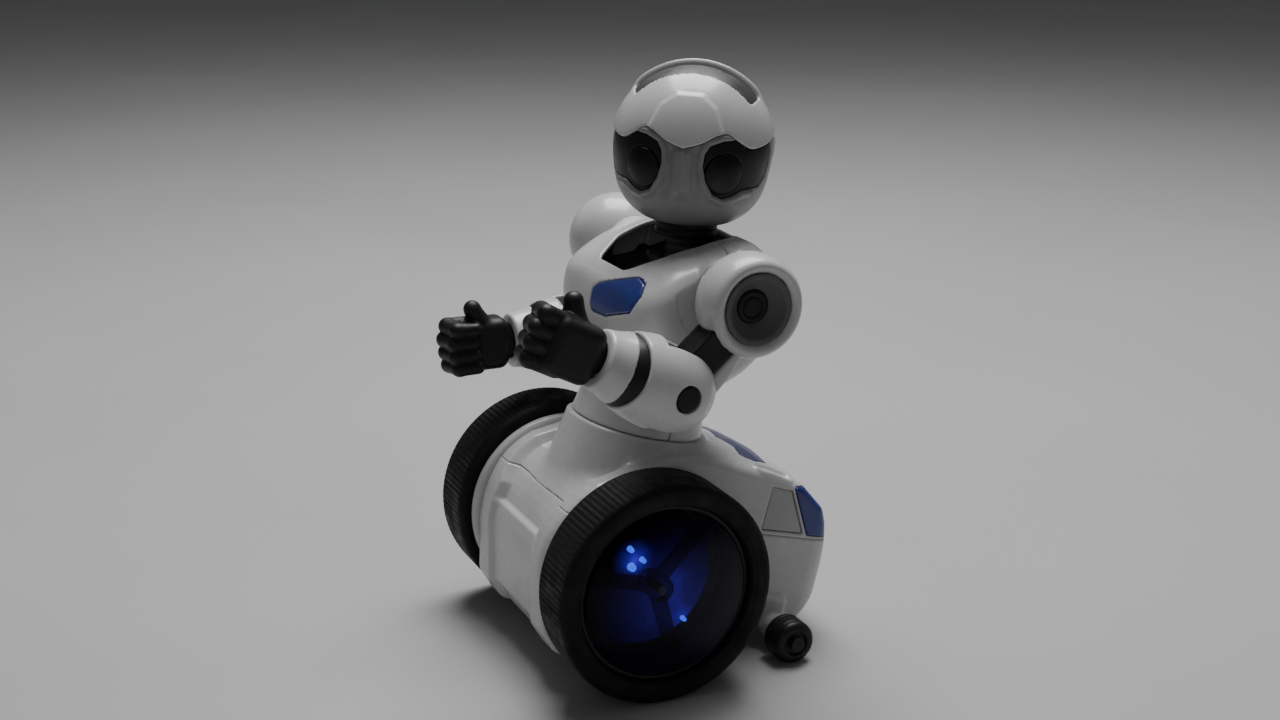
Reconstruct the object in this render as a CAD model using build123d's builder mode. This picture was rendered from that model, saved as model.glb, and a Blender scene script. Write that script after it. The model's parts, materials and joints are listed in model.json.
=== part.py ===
from build123d import *
from math import cos, radians, sin
import os

os.makedirs("parts", exist_ok=True)

# A two-wheeled toy robot that balances on its drive wheels. Each piece is drawn with the robot upright and
# its axle on the X axis: +X is the robot's left, -Y its front, +Z up. Every piece is then leaned back about
# the axle, onto the casters, and moved so that the origin is on the floor under the middle of the robot.

# ---------------------------------------------------------------- driving dimensions, mm and degrees
lean = 15.0  # the robot rests leaning back by this much
axle_y = -18.56  # the axle is ahead of the middle of the robot's length
wall = 2.0  # moulded shell thickness
gap = 0.4  # room round a moulded piece that moves
running = 0.05  # radial room of a shaft that turns in its bore

# drive wheels
wheel_r = 52.0
wheel_mid = 65.2  # wheel's mid-plane from the robot's centre
tyre_width = 29.0
rim_r = 41.5
rim_wall = 2.5
dome_rise = 6.5
axle_r = 2.0

# casters, behind the axle
caster_r = 10.3
caster_width = 15.0
caster_mid = 62.6
caster_y = 79.4
caster_z = (caster_r - wheel_r + caster_y * sin(radians(lean))) / cos(radians(lean))

# base
base_half = 44.0
base_seam = 22.0  # height where the upper and lower base shells meet
base_front_r = 46.0
belly_z = -46.0
tail_z = -20.0
tail_y = 107.0
waist_r = 32.0
waist_y = 5.7
waist_z = 58.0
fender_r = 47.0
fender_out = 50.0

# torso
chest_half = 50.0
chest_depth = 33.0
shoulder_y = 7.6
shoulder_z = 133.6
collar_slope = 20.0
collar_y = 2.0
collar_z = 147.0

# arms
shoulder_x = 70.7
ball_r = 23.5
ball_inner = -20.5  # the ball's flat inner face, from the arm's mid-plane
ball_outer = 11.3
arm_length = 50.5
arm_swing = -34.5  # the left upper arm leans forward by this much
right_arm_drop = 26.5  # the right arm hangs lower by this much
elbow_bend = 22.5
core_half = 7.5
cheek_gap = 8.0
forearm_r = 20.0
elbow_pin_r = 2.5
wrist_s = 40.0  # elbow to wrist
wrist_r = 5.0

# head
head_r = 38.3
head_z = 191.6
head_shell = 2.4
neck_tilt = 10.0
head_turn = 56.0
neck_r = 9.0
ridge_rise = 1.6

# gear train: pinion, idler (wheel and pinion), axle gear
fine_module = 0.5
coarse_module = 0.6
pinion_teeth = 10
idler_teeth = 30
axle_teeth = 36
train_angle = 45.0
gear_inner = 30.5
gear_step = 34.5
gear_outer = 40.0
gearbox_inner = 28.0

# case screws, as (X, Y) under the base and (X, Z) in the torso's back
screw_r = 1.2
screw_head_r = 2.6
pillar_r = 4.0
base_screws = ((24, -27), (30, 44))
torso_screws = ((20, 84), (28, 112))
base_screw_z = 10.0  # a screw head's seat, deep inside its pillar
torso_screw_y = 26.0

stand = Pos(0, axle_y, wheel_r) * Rot(-lean, 0, 0)
sides = (("left", 1), ("right", -1))


def keep(piece, name, place=stand):
    """Names a finished piece, moves it from its drawing place to its place on the robot, and writes it."""
    placed = place * piece
    placed.label = name
    export_step(placed, f"parts/{name}.step")


def keep_pair(piece, name, place=stand):
    """Writes a piece drawn for the robot's left, and its mirror image for the right."""
    for side, sign in sides:
        keep(piece if sign > 0 else mirror(piece, about=Plane.YZ), f"{name}_{side}", place)


# ---------------------------------------------------------------- shared forms
def base_form(inset):
    """The base's outer shape, shrunk by inset: a rounded hull with a cone up to the waist."""
    with BuildPart() as form:
        with BuildSketch(Plane.YZ) as side_view:
            with BuildLine():
                front_top = (-base_front_r * 0.62, base_front_r * 0.79)
                front_low = (-base_front_r * 0.74, belly_z + 2)
                ThreePointArc(front_top, (-base_front_r, 0), front_low)
                Polyline(front_low, (-27, belly_z), (20, belly_z + 6), (50, tail_z), (98, tail_z),
                         (tail_y, -4), (103, 22), (96, 40), (84, 50), (40, 57), front_top)
            make_face()
            fillet(side_view.vertices().filter_by(lambda v: v.Y > -30), 8)
            offset(amount=-inset)
        extrude(amount=base_half - inset, both=True)
        with BuildSketch(Plane.XY.offset(-80)):
            with Locations((0, 27)):
                RectangleRounded(2 * (base_half - inset), 160 - 2 * inset, 16 - inset)
        extrude(amount=200, mode=Mode.INTERSECT)
        with BuildSketch(Plane.XY.offset(20)):
            with Locations((0, 2)):
                Ellipse(base_half - 4 - inset, base_half + 4 - inset)
        with BuildSketch(Plane.XY.offset(waist_z - inset)):
            with Locations((0, waist_y)):
                Circle(waist_r - inset)
        loft()
    return form.part


def torso_form(inset):
    """The torso's outer shape, shrunk by inset: a waist ring swelling into a broad chest."""
    slices = (
        (waist_z + 0.5, 5.7, 32, 32),
        (76, 6, 32, 29),
        (98, 5, 45, 30),
        (120, 4, chest_half, chest_depth),
        (138, 6, 47, 30),
        (151, 10, 30, 24),
    )
    with BuildPart() as form:
        for z, y, half_wide, half_deep in slices:
            ends = inset if z == waist_z + 0.5 else 0
            top = -inset if z == 151 else 0
            with BuildSketch(Plane.XY.offset(z + ends + top)):
                with Locations((0, y)):
                    Ellipse(half_wide - inset, half_deep - inset)
        loft()
    return form.part


def slab(outline, plane, reach):
    """A prism of an outline drawn on a plane, reach long, for cutting inlays out of a form."""
    with BuildPart() as prism:
        with BuildSketch(plane) as face:
            add(outline)
            fillet(face.vertices(), 2)
        extrude(amount=reach)
    return prism.part


def outline(*points):
    """A flat polygon face on the XY plane."""
    with BuildSketch() as face:
        with BuildLine():
            Polyline(*points, close=True)
        make_face()
    return face.sketch


def inlay(outer, inner, prism):
    """The part of a shell's skin, from its outer form in to its inner form, that lies in a prism."""
    return (outer & prism) - inner


def gear(teeth, module, width, start, turn=0):
    """A spur gear about the X axis at the sketch origin, with straight flanks thinned for backlash."""
    pitch_r = module * teeth / 2
    root_r = pitch_r - 1.25 * module
    tip_r = pitch_r + 0.8 * module
    with BuildPart() as wheel:
        with BuildSketch(Plane.YZ.offset(start)):
            Circle(root_r)
            with PolarLocations(0, teeth, start_angle=turn):
                with BuildLine(mode=Mode.PRIVATE) as tooth:
                    Polyline((root_r - 0.3, -0.92 * module), (tip_r, -0.32 * module),
                             (tip_r, 0.32 * module), (root_r - 0.3, 0.92 * module), close=True)
                add(make_face(tooth.edges(), mode=Mode.PRIVATE))
        extrude(amount=width)
    return wheel.part


# Forms that several pieces share
base_outer = base_form(0)
base_skin = base_form(1.2)
base_inner = base_form(wall)
torso_outer = torso_form(0)
torso_skin = torso_form(1.2)
torso_inner = torso_form(wall)

# Places in the gear train, as (Y, Z) from the axle
idler_reach = coarse_module * (pinion_teeth + axle_teeth) / 2
motor_reach = fine_module * (pinion_teeth + idler_teeth) / 2
idler_y = idler_reach * cos(radians(train_angle))
idler_z = idler_reach * sin(radians(train_angle))
motor_y = idler_y + motor_reach
motor_z = idler_z


# ---------------------------------------------------------------- drive wheels
tyre_in = wheel_mid - tyre_width / 2
tyre_out = wheel_mid + tyre_width / 2

with BuildPart() as tyre:
    with BuildSketch(Plane.XZ):
        with Locations((wheel_mid, (wheel_r + rim_r) / 2)):
            RectangleRounded(tyre_width, wheel_r - rim_r, 4)
    revolve(axis=Axis.X)
keep_pair(tyre.part, "tyre")

web_in = 62.0
web_out = 65.0
boss_r = 6.0
spoke_width = 7.0
with BuildPart() as rim:
    with BuildSketch(Plane.XZ):
        with Locations((wheel_mid, rim_r - rim_wall / 2)):
            Rectangle(tyre_width - 3, rim_wall)
        with Locations((wheel_mid, boss_r / 2)):
            Rectangle(14, boss_r)
    revolve(axis=Axis.X)
    with BuildSketch(Plane.YZ.offset(web_in)):
        with PolarLocations(rim_r / 2, 3, start_angle=60):
            Rectangle(rim_r - 2, spoke_width)
    extrude(amount=web_out - web_in)
    with BuildSketch(Plane.YZ.offset(tyre_in)):
        Circle(axle_r)
    extrude(amount=tyre_width, mode=Mode.SUBTRACT)
keep_pair(rim.part, "rim")

dome_r = rim_r - rim_wall
dome_x = tyre_out - 5
dome_sphere_r = (dome_r**2 + dome_rise**2) / (2 * dome_rise)
with BuildPart() as hub_dome:
    with Locations((dome_x + 2 + dome_rise - dome_sphere_r, 0, 0)):
        Sphere(dome_sphere_r)
        Sphere(dome_sphere_r - 1.8, mode=Mode.SUBTRACT)
    with BuildSketch(Plane.YZ.offset(dome_x)):
        Circle(dome_r)
    extrude(amount=dome_rise + 3, mode=Mode.INTERSECT)
keep_pair(hub_dome.part, "hub_dome")

axle_end = wheel_mid + 7
drive_gear = gear(axle_teeth, coarse_module, gear_outer - gear_step - 0.5, gear_step + 0.5)
with BuildPart() as drive_axle:
    add(drive_gear)
    with BuildSketch(Plane.YZ.offset(gearbox_inner - 0.5)):
        Circle(axle_r)
    extrude(amount=axle_end - gearbox_inner + 0.5)
keep_pair(drive_axle.part, "drive_axle")

# ---------------------------------------------------------------- gear train and motors
half_tooth = 180 / pinion_teeth
idler_large = gear(idler_teeth, fine_module, gear_step - gear_inner, gear_inner)
idler_small = gear(pinion_teeth, coarse_module, gear_outer - gear_step, gear_step,
                   turn=180 + train_angle)
with BuildPart() as idler_gear:
    add(idler_large)
    add(idler_small)
    with BuildSketch(Plane.YZ.offset(gear_inner)):
        Circle(1 + running)
    extrude(amount=gear_outer - gear_inner, mode=Mode.SUBTRACT)
keep_pair(idler_gear.part, "idler_gear", stand * Pos(0, idler_y, idler_z))

motor_in = 3.0
pinion = gear(pinion_teeth, fine_module, gear_step - gear_inner - 0.5, gear_inner, turn=180 + half_tooth)
with BuildPart() as motor_pinion:
    add(pinion)
    with BuildSketch(Plane.YZ.offset(motor_in + 6)):
        Circle(1)
    extrude(amount=gear_step - motor_in - 6.5)
keep_pair(motor_pinion.part, "motor_pinion", stand * Pos(0, motor_y, motor_z))

with BuildPart() as motors:
    with BuildSketch(Plane.YZ.offset(motor_in)):
        with Locations((motor_y, motor_z)):
            SlotOverall(20, 15.4, rotation=90)
            Circle(10)
            Rectangle(15.4, 30, mode=Mode.INTERSECT)
    extrude(amount=gearbox_inner - motor_in)
    with BuildSketch(Plane.YZ.offset(motor_in + 5)):
        with Locations((motor_y, motor_z)):
            Circle(1 + running)
    extrude(amount=gearbox_inner - motor_in, mode=Mode.SUBTRACT)
    mirror(about=Plane.YZ)
keep(motors.part, "motors")

box_r = coarse_module * axle_teeth / 2 + 3
box_back = motor_y + 5
with BuildPart() as gearboxes:
    with BuildSketch(Plane.YZ.offset(gearbox_inner)):
        with Locations(((box_back - box_r) / 2, 3)):
            RectangleRounded(box_back + box_r, 36, 5)
    extrude(amount=base_half - wall - gearbox_inner)
    with BuildSketch(Plane.YZ.offset(gearbox_inner + 1.5)):
        with Locations(((box_back - box_r) / 2, 3)):
            RectangleRounded(box_back + box_r - 3, 33, 3.5)
    extrude(amount=base_half, mode=Mode.SUBTRACT)
    with BuildSketch(Plane.YZ.offset(gearbox_inner)):
        Circle(axle_r + running)
        with Locations((motor_y, motor_z)):
            Circle(1 + running)
    extrude(amount=2, mode=Mode.SUBTRACT)
    with BuildSketch(Plane.YZ.offset(gearbox_inner)):
        with Locations((idler_y, idler_z)):
            Circle(1)
    extrude(amount=base_half - wall - gearbox_inner)
    mirror(about=Plane.YZ)
keep(gearboxes.part, "gearbox_housings")

# ---------------------------------------------------------------- base shells, fenders and panels
both_base_screws = [(sign * x, y) for x, y in base_screws for sign in (1, -1)]
both_torso_screws = [(sign * x, z) for x, z in torso_screws for sign in (1, -1)]

with BuildPart() as base_pillars:
    with BuildSketch(Plane.XY.offset(-80)):
        with Locations(both_base_screws):
            Circle(pillar_r)
    extrude(amount=160)
    add(base_outer, mode=Mode.INTERSECT)

with BuildPart() as base_screw_holes:
    with BuildSketch(Plane.XY.offset(-80)):
        with Locations(both_base_screws):
            Circle(screw_head_r + 0.2)
    extrude(amount=80 + base_screw_z)
    with BuildSketch(Plane.XY.offset(base_screw_z)):
        with Locations(both_base_screws):
            Circle(screw_r)
    extrude(amount=20)

fender_in = base_half - 6
axle_hole = axle_r + running
battery_y = 71.0
battery_half_y = 17.5
battery_half_x = 29.0
lug_r = 6.0
lug_out = caster_mid - caster_width / 2 - gap
switch_z = -2.0

lower_zone = Pos(0, 0, base_seam - 100) * Box(200, 400, 200)
upper_zone = Pos(0, 0, base_seam + 100) * Box(200, 400, 200)
deck_prism = slab(outline((-27, 51), (-13, 54), (0, 51), (13, 54), (27, 51), (29, 57), (25, 67), (0, 70),
                          (-25, 67), (-29, 57)), Plane.XY.offset(40), 40)
tail_prism = slab(outline((87, 24), (120, 24), (120, 46), (74, 46)), Plane.YZ.offset(-60), 120)
flank_prism = slab(outline((62, 24), (84, 24), (72, 45), (62, 46)), Plane.YZ.offset(30), 30)
deck_skin = inlay(base_outer, base_skin, deck_prism)
tail_skin = inlay(base_outer, base_skin, tail_prism)
flank_skin = inlay(base_outer, base_skin, flank_prism)

with BuildPart() as base_upper_shell:
    add(base_outer)
    add(base_inner, mode=Mode.SUBTRACT)
    add(base_pillars.part)
    add(base_screw_holes.part, mode=Mode.SUBTRACT)
    add(upper_zone, mode=Mode.INTERSECT)
    add(deck_skin, mode=Mode.SUBTRACT)
    add(tail_skin, mode=Mode.SUBTRACT)
    add(flank_skin, mode=Mode.SUBTRACT)
    add(mirror(flank_skin, about=Plane.YZ), mode=Mode.SUBTRACT)
keep(base_upper_shell.part, "base_upper_shell")
keep(deck_skin, "deck_panel")
keep(tail_skin, "tail_panel")
keep(flank_skin + mirror(flank_skin, about=Plane.YZ), "side_panels")

with BuildPart() as base_lower_shell:
    add(base_outer)
    add(base_inner, mode=Mode.SUBTRACT)
    add(base_pillars.part)
    add(base_screw_holes.part, mode=Mode.SUBTRACT)
    add(lower_zone, mode=Mode.INTERSECT)
    with BuildSketch(Plane.YZ.offset(-lug_out)):
        with Locations((caster_y, caster_z)):
            Circle(lug_r)
    extrude(amount=2 * lug_out)
    with BuildSketch(Plane.YZ.offset(-base_half + wall + 4)):
        with Locations((caster_y, caster_z)):
            Circle(lug_r + 1)
    extrude(amount=2 * (base_half - wall - 4), mode=Mode.SUBTRACT)
    with BuildSketch(Plane.YZ.offset(-80)):
        Circle(axle_hole)
        with Locations((caster_y, caster_z)):
            Circle(axle_r)
    extrude(amount=160, mode=Mode.SUBTRACT)
    with BuildSketch(Plane.XY.offset(tail_z - 1)):
        with Locations((0, battery_y)):
            Rectangle(2 * battery_half_x, 2 * battery_half_y)
    extrude(amount=wall + 2, mode=Mode.SUBTRACT)
    with BuildSketch(Plane.XZ.offset(-tail_y + 8)):
        with Locations((0, switch_z)):
            Rectangle(11, 4.4)
    extrude(amount=-12, mode=Mode.SUBTRACT)
keep(base_lower_shell.part, "base_lower_shell")

with BuildPart() as fender:
    with BuildSketch(Plane.YZ.offset(base_half)):
        Circle(fender_r)
        Circle(axle_hole, mode=Mode.SUBTRACT)
    extrude(amount=fender_out - base_half)
    fillet(fender.faces().sort_by(Axis.X)[-1].edges().sort_by(SortBy.LENGTH)[-1], 3)
    with BuildSketch(Plane.YZ.offset(fender_out - 1.5)):
        with BuildLine():
            inner_arc = CenterArc((0, 0), 33, 100, 70)
            outer_arc = CenterArc((3, -3), 41, 105, 60)
            Line(inner_arc @ 0, outer_arc @ 0)
            Line(inner_arc @ 1, outer_arc @ 1)
        make_face()
    extrude(amount=3, mode=Mode.SUBTRACT)
keep_pair(fender.part, "fender")

# ---------------------------------------------------------------- lights
board_out = fender_out + 1.6
board_r = 34.0
lamp_spots = [(-10, 11.5), (-2.5, 7), (-7, 3), (26, -19.5)]
with BuildPart() as light_boards:
    with BuildSketch(Plane.YZ.offset(fender_out)):
        Circle(board_r)
        Circle(8, mode=Mode.SUBTRACT)
    extrude(amount=board_out - fender_out)
    mirror(about=Plane.YZ)
keep(light_boards.part, "light_boards")

with BuildPart() as wheel_lights:
    with BuildSketch(Plane.YZ.offset(board_out)):
        with Locations(*lamp_spots):
            Circle(1.8)
    extrude(amount=4)
    fillet(wheel_lights.faces().sort_by(Axis.X)[-4:].edges(), 1.4)
    mirror(about=Plane.YZ)
keep(wheel_lights.part, "wheel_lights")

# ---------------------------------------------------------------- casters
with BuildPart() as caster:
    with BuildSketch(Plane.XZ):
        with Locations((caster_mid, (caster_r + axle_r + running) / 2)):
            RectangleRounded(caster_width, caster_r - axle_r - running, 3.5)
    revolve(axis=Axis.X)
keep_pair(caster.part, "caster", stand * Pos(0, caster_y, caster_z))

pin_out = caster_mid + caster_width / 2 + gap
with BuildPart() as caster_pins:
    with BuildSketch(Plane.YZ.offset(base_half - 4)):
        with Locations((caster_y, caster_z)):
            Circle(axle_r)
    extrude(amount=pin_out - base_half + 4)
    with BuildSketch(Plane.YZ.offset(pin_out)):
        with Locations((caster_y, caster_z)):
            Circle(3.5)
    extrude(amount=1.5)
    mirror(about=Plane.YZ)
keep(caster_pins.part, "caster_pins")

# ---------------------------------------------------------------- battery, board, speaker, switch
cell_r = 7.1
cell_length = 50.0
cell_z = 4.0
with BuildPart() as battery_cells:
    with BuildSketch(Plane.YZ.offset(-cell_length / 2)):
        with Locations((battery_y, cell_z)):
            with GridLocations(15, 15, 2, 2):
                Circle(cell_r)
    extrude(amount=cell_length)
    with BuildSketch(Plane.YZ.offset(cell_length / 2)):
        with Locations((battery_y, cell_z)):
            with GridLocations(15, 15, 2, 2):
                Circle(2.7)
    extrude(amount=1)
keep(battery_cells.part, "battery_cells")

tray_low = tail_z + wall
tray_high = cell_z + 17
with BuildPart() as battery_box:
    with BuildSketch(Plane.XY.offset(tray_low)):
        with Locations((0, battery_y)):
            Rectangle(2 * battery_half_x, 2 * battery_half_y)
    extrude(amount=tray_high - tray_low)
    with BuildSketch(Plane.XY.offset(tray_low)):
        with Locations((0, battery_y)):
            Rectangle(2 * battery_half_x - 4, 2 * battery_half_y - 4)
    extrude(amount=tray_high - tray_low - 1.5, mode=Mode.SUBTRACT)
keep(battery_box.part, "battery_box")

with BuildPart() as battery_cover:
    with BuildSketch(Plane.XY.offset(tail_z)):
        with Locations((0, battery_y)):
            Rectangle(2 * battery_half_x - 0.4, 2 * battery_half_y - 0.4)
    extrude(amount=wall)
    with BuildSketch(Plane.XY.offset(tail_z)):
        with Locations((0, battery_y - battery_half_y + 5)):
            with GridLocations(0, 2.4, 1, 3):
                Rectangle(14, 1)
    extrude(amount=0.8, mode=Mode.SUBTRACT)
keep(battery_cover.part, "battery_cover")

with BuildPart() as control_board:
    with BuildSketch(Plane.XY.offset(28)):
        with Locations((0, 20)):
            Rectangle(50, 56)
    extrude(amount=1.6)
    with BuildSketch(Plane.XY.offset(29.6)):
        with Locations((-10, 18)):
            Rectangle(14, 14)
        with Locations((14, 30)):
            Rectangle(8, 12)
        with Locations((14, 8)):
            Circle(4)
    extrude(amount=3)
keep(control_board.part, "control_board")

speaker_y = -8.0
with BuildPart() as speaker:
    with BuildSketch(Plane.XZ.offset(-speaker_y)):
        with BuildLine():
            floor_z = belly_z + wall + 5
            Polyline((0, floor_z), (16, floor_z), (16, floor_z + 3), (8, floor_z + 8), (0, floor_z + 8),
                     close=True)
        make_face()
    revolve(axis=Axis((0, speaker_y, 0), (0, 0, 1)))
keep(speaker.part, "speaker")

with BuildPart() as power_switch:
    with BuildSketch(Plane.XZ.offset(-tail_y + 5)):
        with Locations((-2, switch_z)):
            Rectangle(6, 3.8)
    extrude(amount=-6)
    with BuildSketch(Plane.XZ.offset(-tail_y + 3)):
        with Locations((-2, switch_z)):
            with GridLocations(2, 0, 2, 1):
                Rectangle(0.6, 6)
keep(power_switch.part, "power_switch")

# ---------------------------------------------------------------- torso
boss_in = 38.0
boss_out = shoulder_x + ball_inner - gap
shaft_r = 4.0
collar_plane = Plane(origin=(0, collar_y, collar_z),
                     x_dir=(1, 0, 0),
                     z_dir=(0, -sin(radians(collar_slope)), cos(radians(collar_slope))))
front_zone = Pos(0, shoulder_y - 100, 0) * Box(300, 200, 500)
rear_zone = Pos(0, shoulder_y + 100, 0) * Box(300, 200, 500)
chest_prism = slab(outline((-7, 108), (-8, 117), (-2, 121), (26, 131), (31, 129.5), (36, 125), (34, 116),
                           (12, 109)), Plane.XZ, 60)
chest_skin = inlay(torso_outer, torso_skin, chest_prism)

with BuildPart() as torso_pillars:
    with BuildSketch(Plane.XZ.offset(-60)):
        with Locations(both_torso_screws):
            Circle(pillar_r)
    extrude(amount=120)
    add(torso_outer, mode=Mode.INTERSECT)
    with BuildSketch(Plane.XZ.offset(-60)):
        with Locations(both_torso_screws):
            Circle(screw_head_r + 0.2)
    extrude(amount=60 - torso_screw_y, mode=Mode.SUBTRACT)
    with BuildSketch(Plane.XZ.offset(-60)):
        with Locations(both_torso_screws):
            Circle(screw_r)
    extrude(amount=60, mode=Mode.SUBTRACT)

with BuildPart() as torso_shell:
    add(torso_outer)
    add(torso_inner, mode=Mode.SUBTRACT)
    add(torso_pillars.part)
    with BuildSketch(Plane.YZ.offset(boss_in)):
        with Locations((shoulder_y, shoulder_z)):
            Circle(16)
    extrude(amount=boss_out - boss_in)
    with BuildSketch(Plane.YZ.offset(-boss_in)):
        with Locations((shoulder_y, shoulder_z)):
            Circle(16)
    extrude(amount=boss_in - boss_out)
    with BuildSketch(Plane.YZ.offset(-60)):
        with Locations((shoulder_y, shoulder_z)):
            Circle(shaft_r + running)
    extrude(amount=120, mode=Mode.SUBTRACT)
    with BuildSketch(Plane.YZ.offset(boss_out)):
        with Locations((shoulder_y, shoulder_z)):
            Circle(ball_r + 1)
    extrude(amount=40, mode=Mode.SUBTRACT)
    with BuildSketch(Plane.YZ.offset(-boss_out)):
        with Locations((shoulder_y, shoulder_z)):
            Circle(ball_r + 1)
    extrude(amount=-40, mode=Mode.SUBTRACT)
    with BuildSketch(collar_plane.offset(-0.01)):
        Ellipse(26, 31)
    extrude(amount=40, mode=Mode.SUBTRACT)
    with BuildSketch(collar_plane.offset(-6)):
        Ellipse(26, 31)
    extrude(amount=8, mode=Mode.SUBTRACT)
    add(chest_skin, mode=Mode.SUBTRACT)
    with BuildSketch(Plane.XZ.offset(-60)):
        with Locations(both_torso_screws):
            Circle(screw_head_r + 0.2)
    extrude(amount=60 - torso_screw_y, mode=Mode.SUBTRACT)

with BuildPart() as case_screws:
    with BuildSketch(Plane.XY.offset(base_screw_z - 2)):
        with Locations(both_base_screws):
            Circle(screw_head_r)
    extrude(amount=2)
    with BuildSketch(Plane.XY.offset(base_screw_z)):
        with Locations(both_base_screws):
            Circle(screw_r)
    extrude(amount=18)
    with BuildSketch(Plane.XZ.offset(-torso_screw_y - 2)):
        with Locations(both_torso_screws):
            Circle(screw_head_r)
    extrude(amount=2)
    with BuildSketch(Plane.XZ.offset(-torso_screw_y)):
        with Locations(both_torso_screws):
            Circle(screw_r)
    extrude(amount=24)
keep(case_screws.part, "case_screws")

with BuildPart() as torso_front_shell:
    add(torso_shell.part)
    add(front_zone, mode=Mode.INTERSECT)
with BuildPart() as torso_rear_shell:
    add(torso_shell.part)
    add(rear_zone, mode=Mode.INTERSECT)
keep(torso_front_shell.part, "torso_front_shell")
keep(torso_rear_shell.part, "torso_rear_shell")
keep(chest_skin, "chest_panel")

head_place = Pos(0, 0, head_z) * Rot(neck_tilt, 0, 0)
post_top = -31.0
post = head_place * Pos(0, 0, post_top - 9.5) * Cylinder(neck_r, 19)
with BuildPart() as collar:
    with BuildSketch(collar_plane.offset(-5.8)):
        Ellipse(25.8, 30.8)
    extrude(amount=4)
    add(torso_outer, mode=Mode.INTERSECT)
    add(post)
keep(collar.part, "collar")

# ---------------------------------------------------------------- arms, drawn hanging straight down
with BuildPart() as arm_core:
    with BuildSketch(Plane.YZ.offset(-core_half)):
        with Locations((0, -arm_length)):
            Circle(10.5)
        with Locations((0, -(arm_length + 16) / 2)):
            Rectangle(15, arm_length - 16)
        with Locations((0, -arm_length)):
            Circle(elbow_pin_r + running, mode=Mode.SUBTRACT)
    extrude(amount=2 * core_half)

with BuildPart() as arm_cover:
    with BuildSketch(Plane.YZ.offset(-core_half)):
        with BuildLine():
            Polyline((7.5, -18), (12.5, -19.5))
            Spline((12.5, -19.5), (15.5, -34), (15, -48), (9, -58))
            Polyline((9, -58), (7.5, -56.5), (7.5, -18))
        make_face()
        with Locations((0, -arm_length)):
            Circle(10.6, mode=Mode.SUBTRACT)
    extrude(amount=2 * core_half)

with BuildPart() as ball:
    Sphere(ball_r)
    with BuildSketch(Plane.YZ.offset(ball_outer)):
        Rectangle(60, 60)
    extrude(amount=20, mode=Mode.SUBTRACT)
    with BuildSketch(Plane.YZ.offset(ball_inner)):
        Rectangle(60, 60)
    extrude(amount=-20, mode=Mode.SUBTRACT)
    with BuildSketch(Plane.YZ.offset(ball_outer)):
        Circle(17.5)
    with BuildSketch(Plane.YZ.offset(ball_outer - 9)):
        Circle(8)
    loft(mode=Mode.SUBTRACT)
    with BuildSketch(Plane.YZ.offset(-6)):
        Circle(8)
    extrude(amount=12, mode=Mode.SUBTRACT)
    with BuildSketch(Plane.YZ.offset(-30)):
        Circle(shaft_r)
    extrude(amount=30, mode=Mode.SUBTRACT)
    add(arm_core.part, mode=Mode.SUBTRACT)
    add(arm_cover.part, mode=Mode.SUBTRACT)

shaft_in = boss_in - shoulder_x - gap
with BuildPart() as shoulder_hub:
    with BuildSketch(Plane.YZ.offset(-6)):
        Circle(8)
    extrude(amount=9.5)
    with BuildSketch(Plane.YZ.offset(shaft_in)):
        Circle(shaft_r)
    extrude(amount=-6 - shaft_in)
    with BuildSketch(Plane.YZ.offset(shaft_in - 2)):
        Circle(6.5)
    extrude(amount=2)
    fillet(shoulder_hub.faces().sort_by(Axis.X)[-1].edges(), 1.5)

# The forearm is drawn pointing forward, along -Y, from the elbow's axis
with BuildPart() as forearm_shell:
    with BuildSketch(Plane.XY):
        with BuildLine():
            Polyline((0, -wrist_s + 1), (13, -wrist_s + 1), (14.5, -29), (14.5, -27.5), (13.5, -27.5),
                     (13.5, -25), (17.5, -25))
            Spline((17.5, -25), (20, -14), (forearm_r, 0), (16, 12), (8, 18.5), (0, 20))
            Line((0, 20), (0, -wrist_s + 1))
        make_face()
    revolve(axis=Axis.Y)
    with BuildSketch(Plane.XY):
        with Locations((0, 5)):
            Rectangle(2 * cheek_gap, 36)
    extrude(amount=50, both=True, mode=Mode.SUBTRACT)
    with BuildSketch(Plane.XZ.offset(wrist_s - 14)):
        Circle(wrist_r + running)
    extrude(amount=20, mode=Mode.SUBTRACT)
    with BuildSketch(Plane.YZ.offset(-30)):
        Circle(elbow_pin_r)
    extrude(amount=60, mode=Mode.SUBTRACT)
    with BuildSketch(Plane.YZ.offset(14.5)):
        Circle(6)
    extrude(amount=10, mode=Mode.SUBTRACT)

with BuildPart() as elbow_pin:
    with BuildSketch(Plane.YZ.offset(-19)):
        Circle(elbow_pin_r)
    extrude(amount=33.5)
    with BuildSketch(Plane.YZ.offset(14.5)):
        Circle(5.9)
    extrude(amount=5)
    fillet(elbow_pin.faces().sort_by(Axis.X)[-1].edges(), 1.5)

with BuildPart() as forearm_band:
    with BuildSketch(Plane.XZ.offset(25)):
        Circle(17)
        Circle(13.5, mode=Mode.SUBTRACT)
    extrude(amount=2.5)
    fillet(forearm_band.faces().filter_by(GeomType.CYLINDER).sort_by(SortBy.AREA)[-1].edges(), 0.8)

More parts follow.
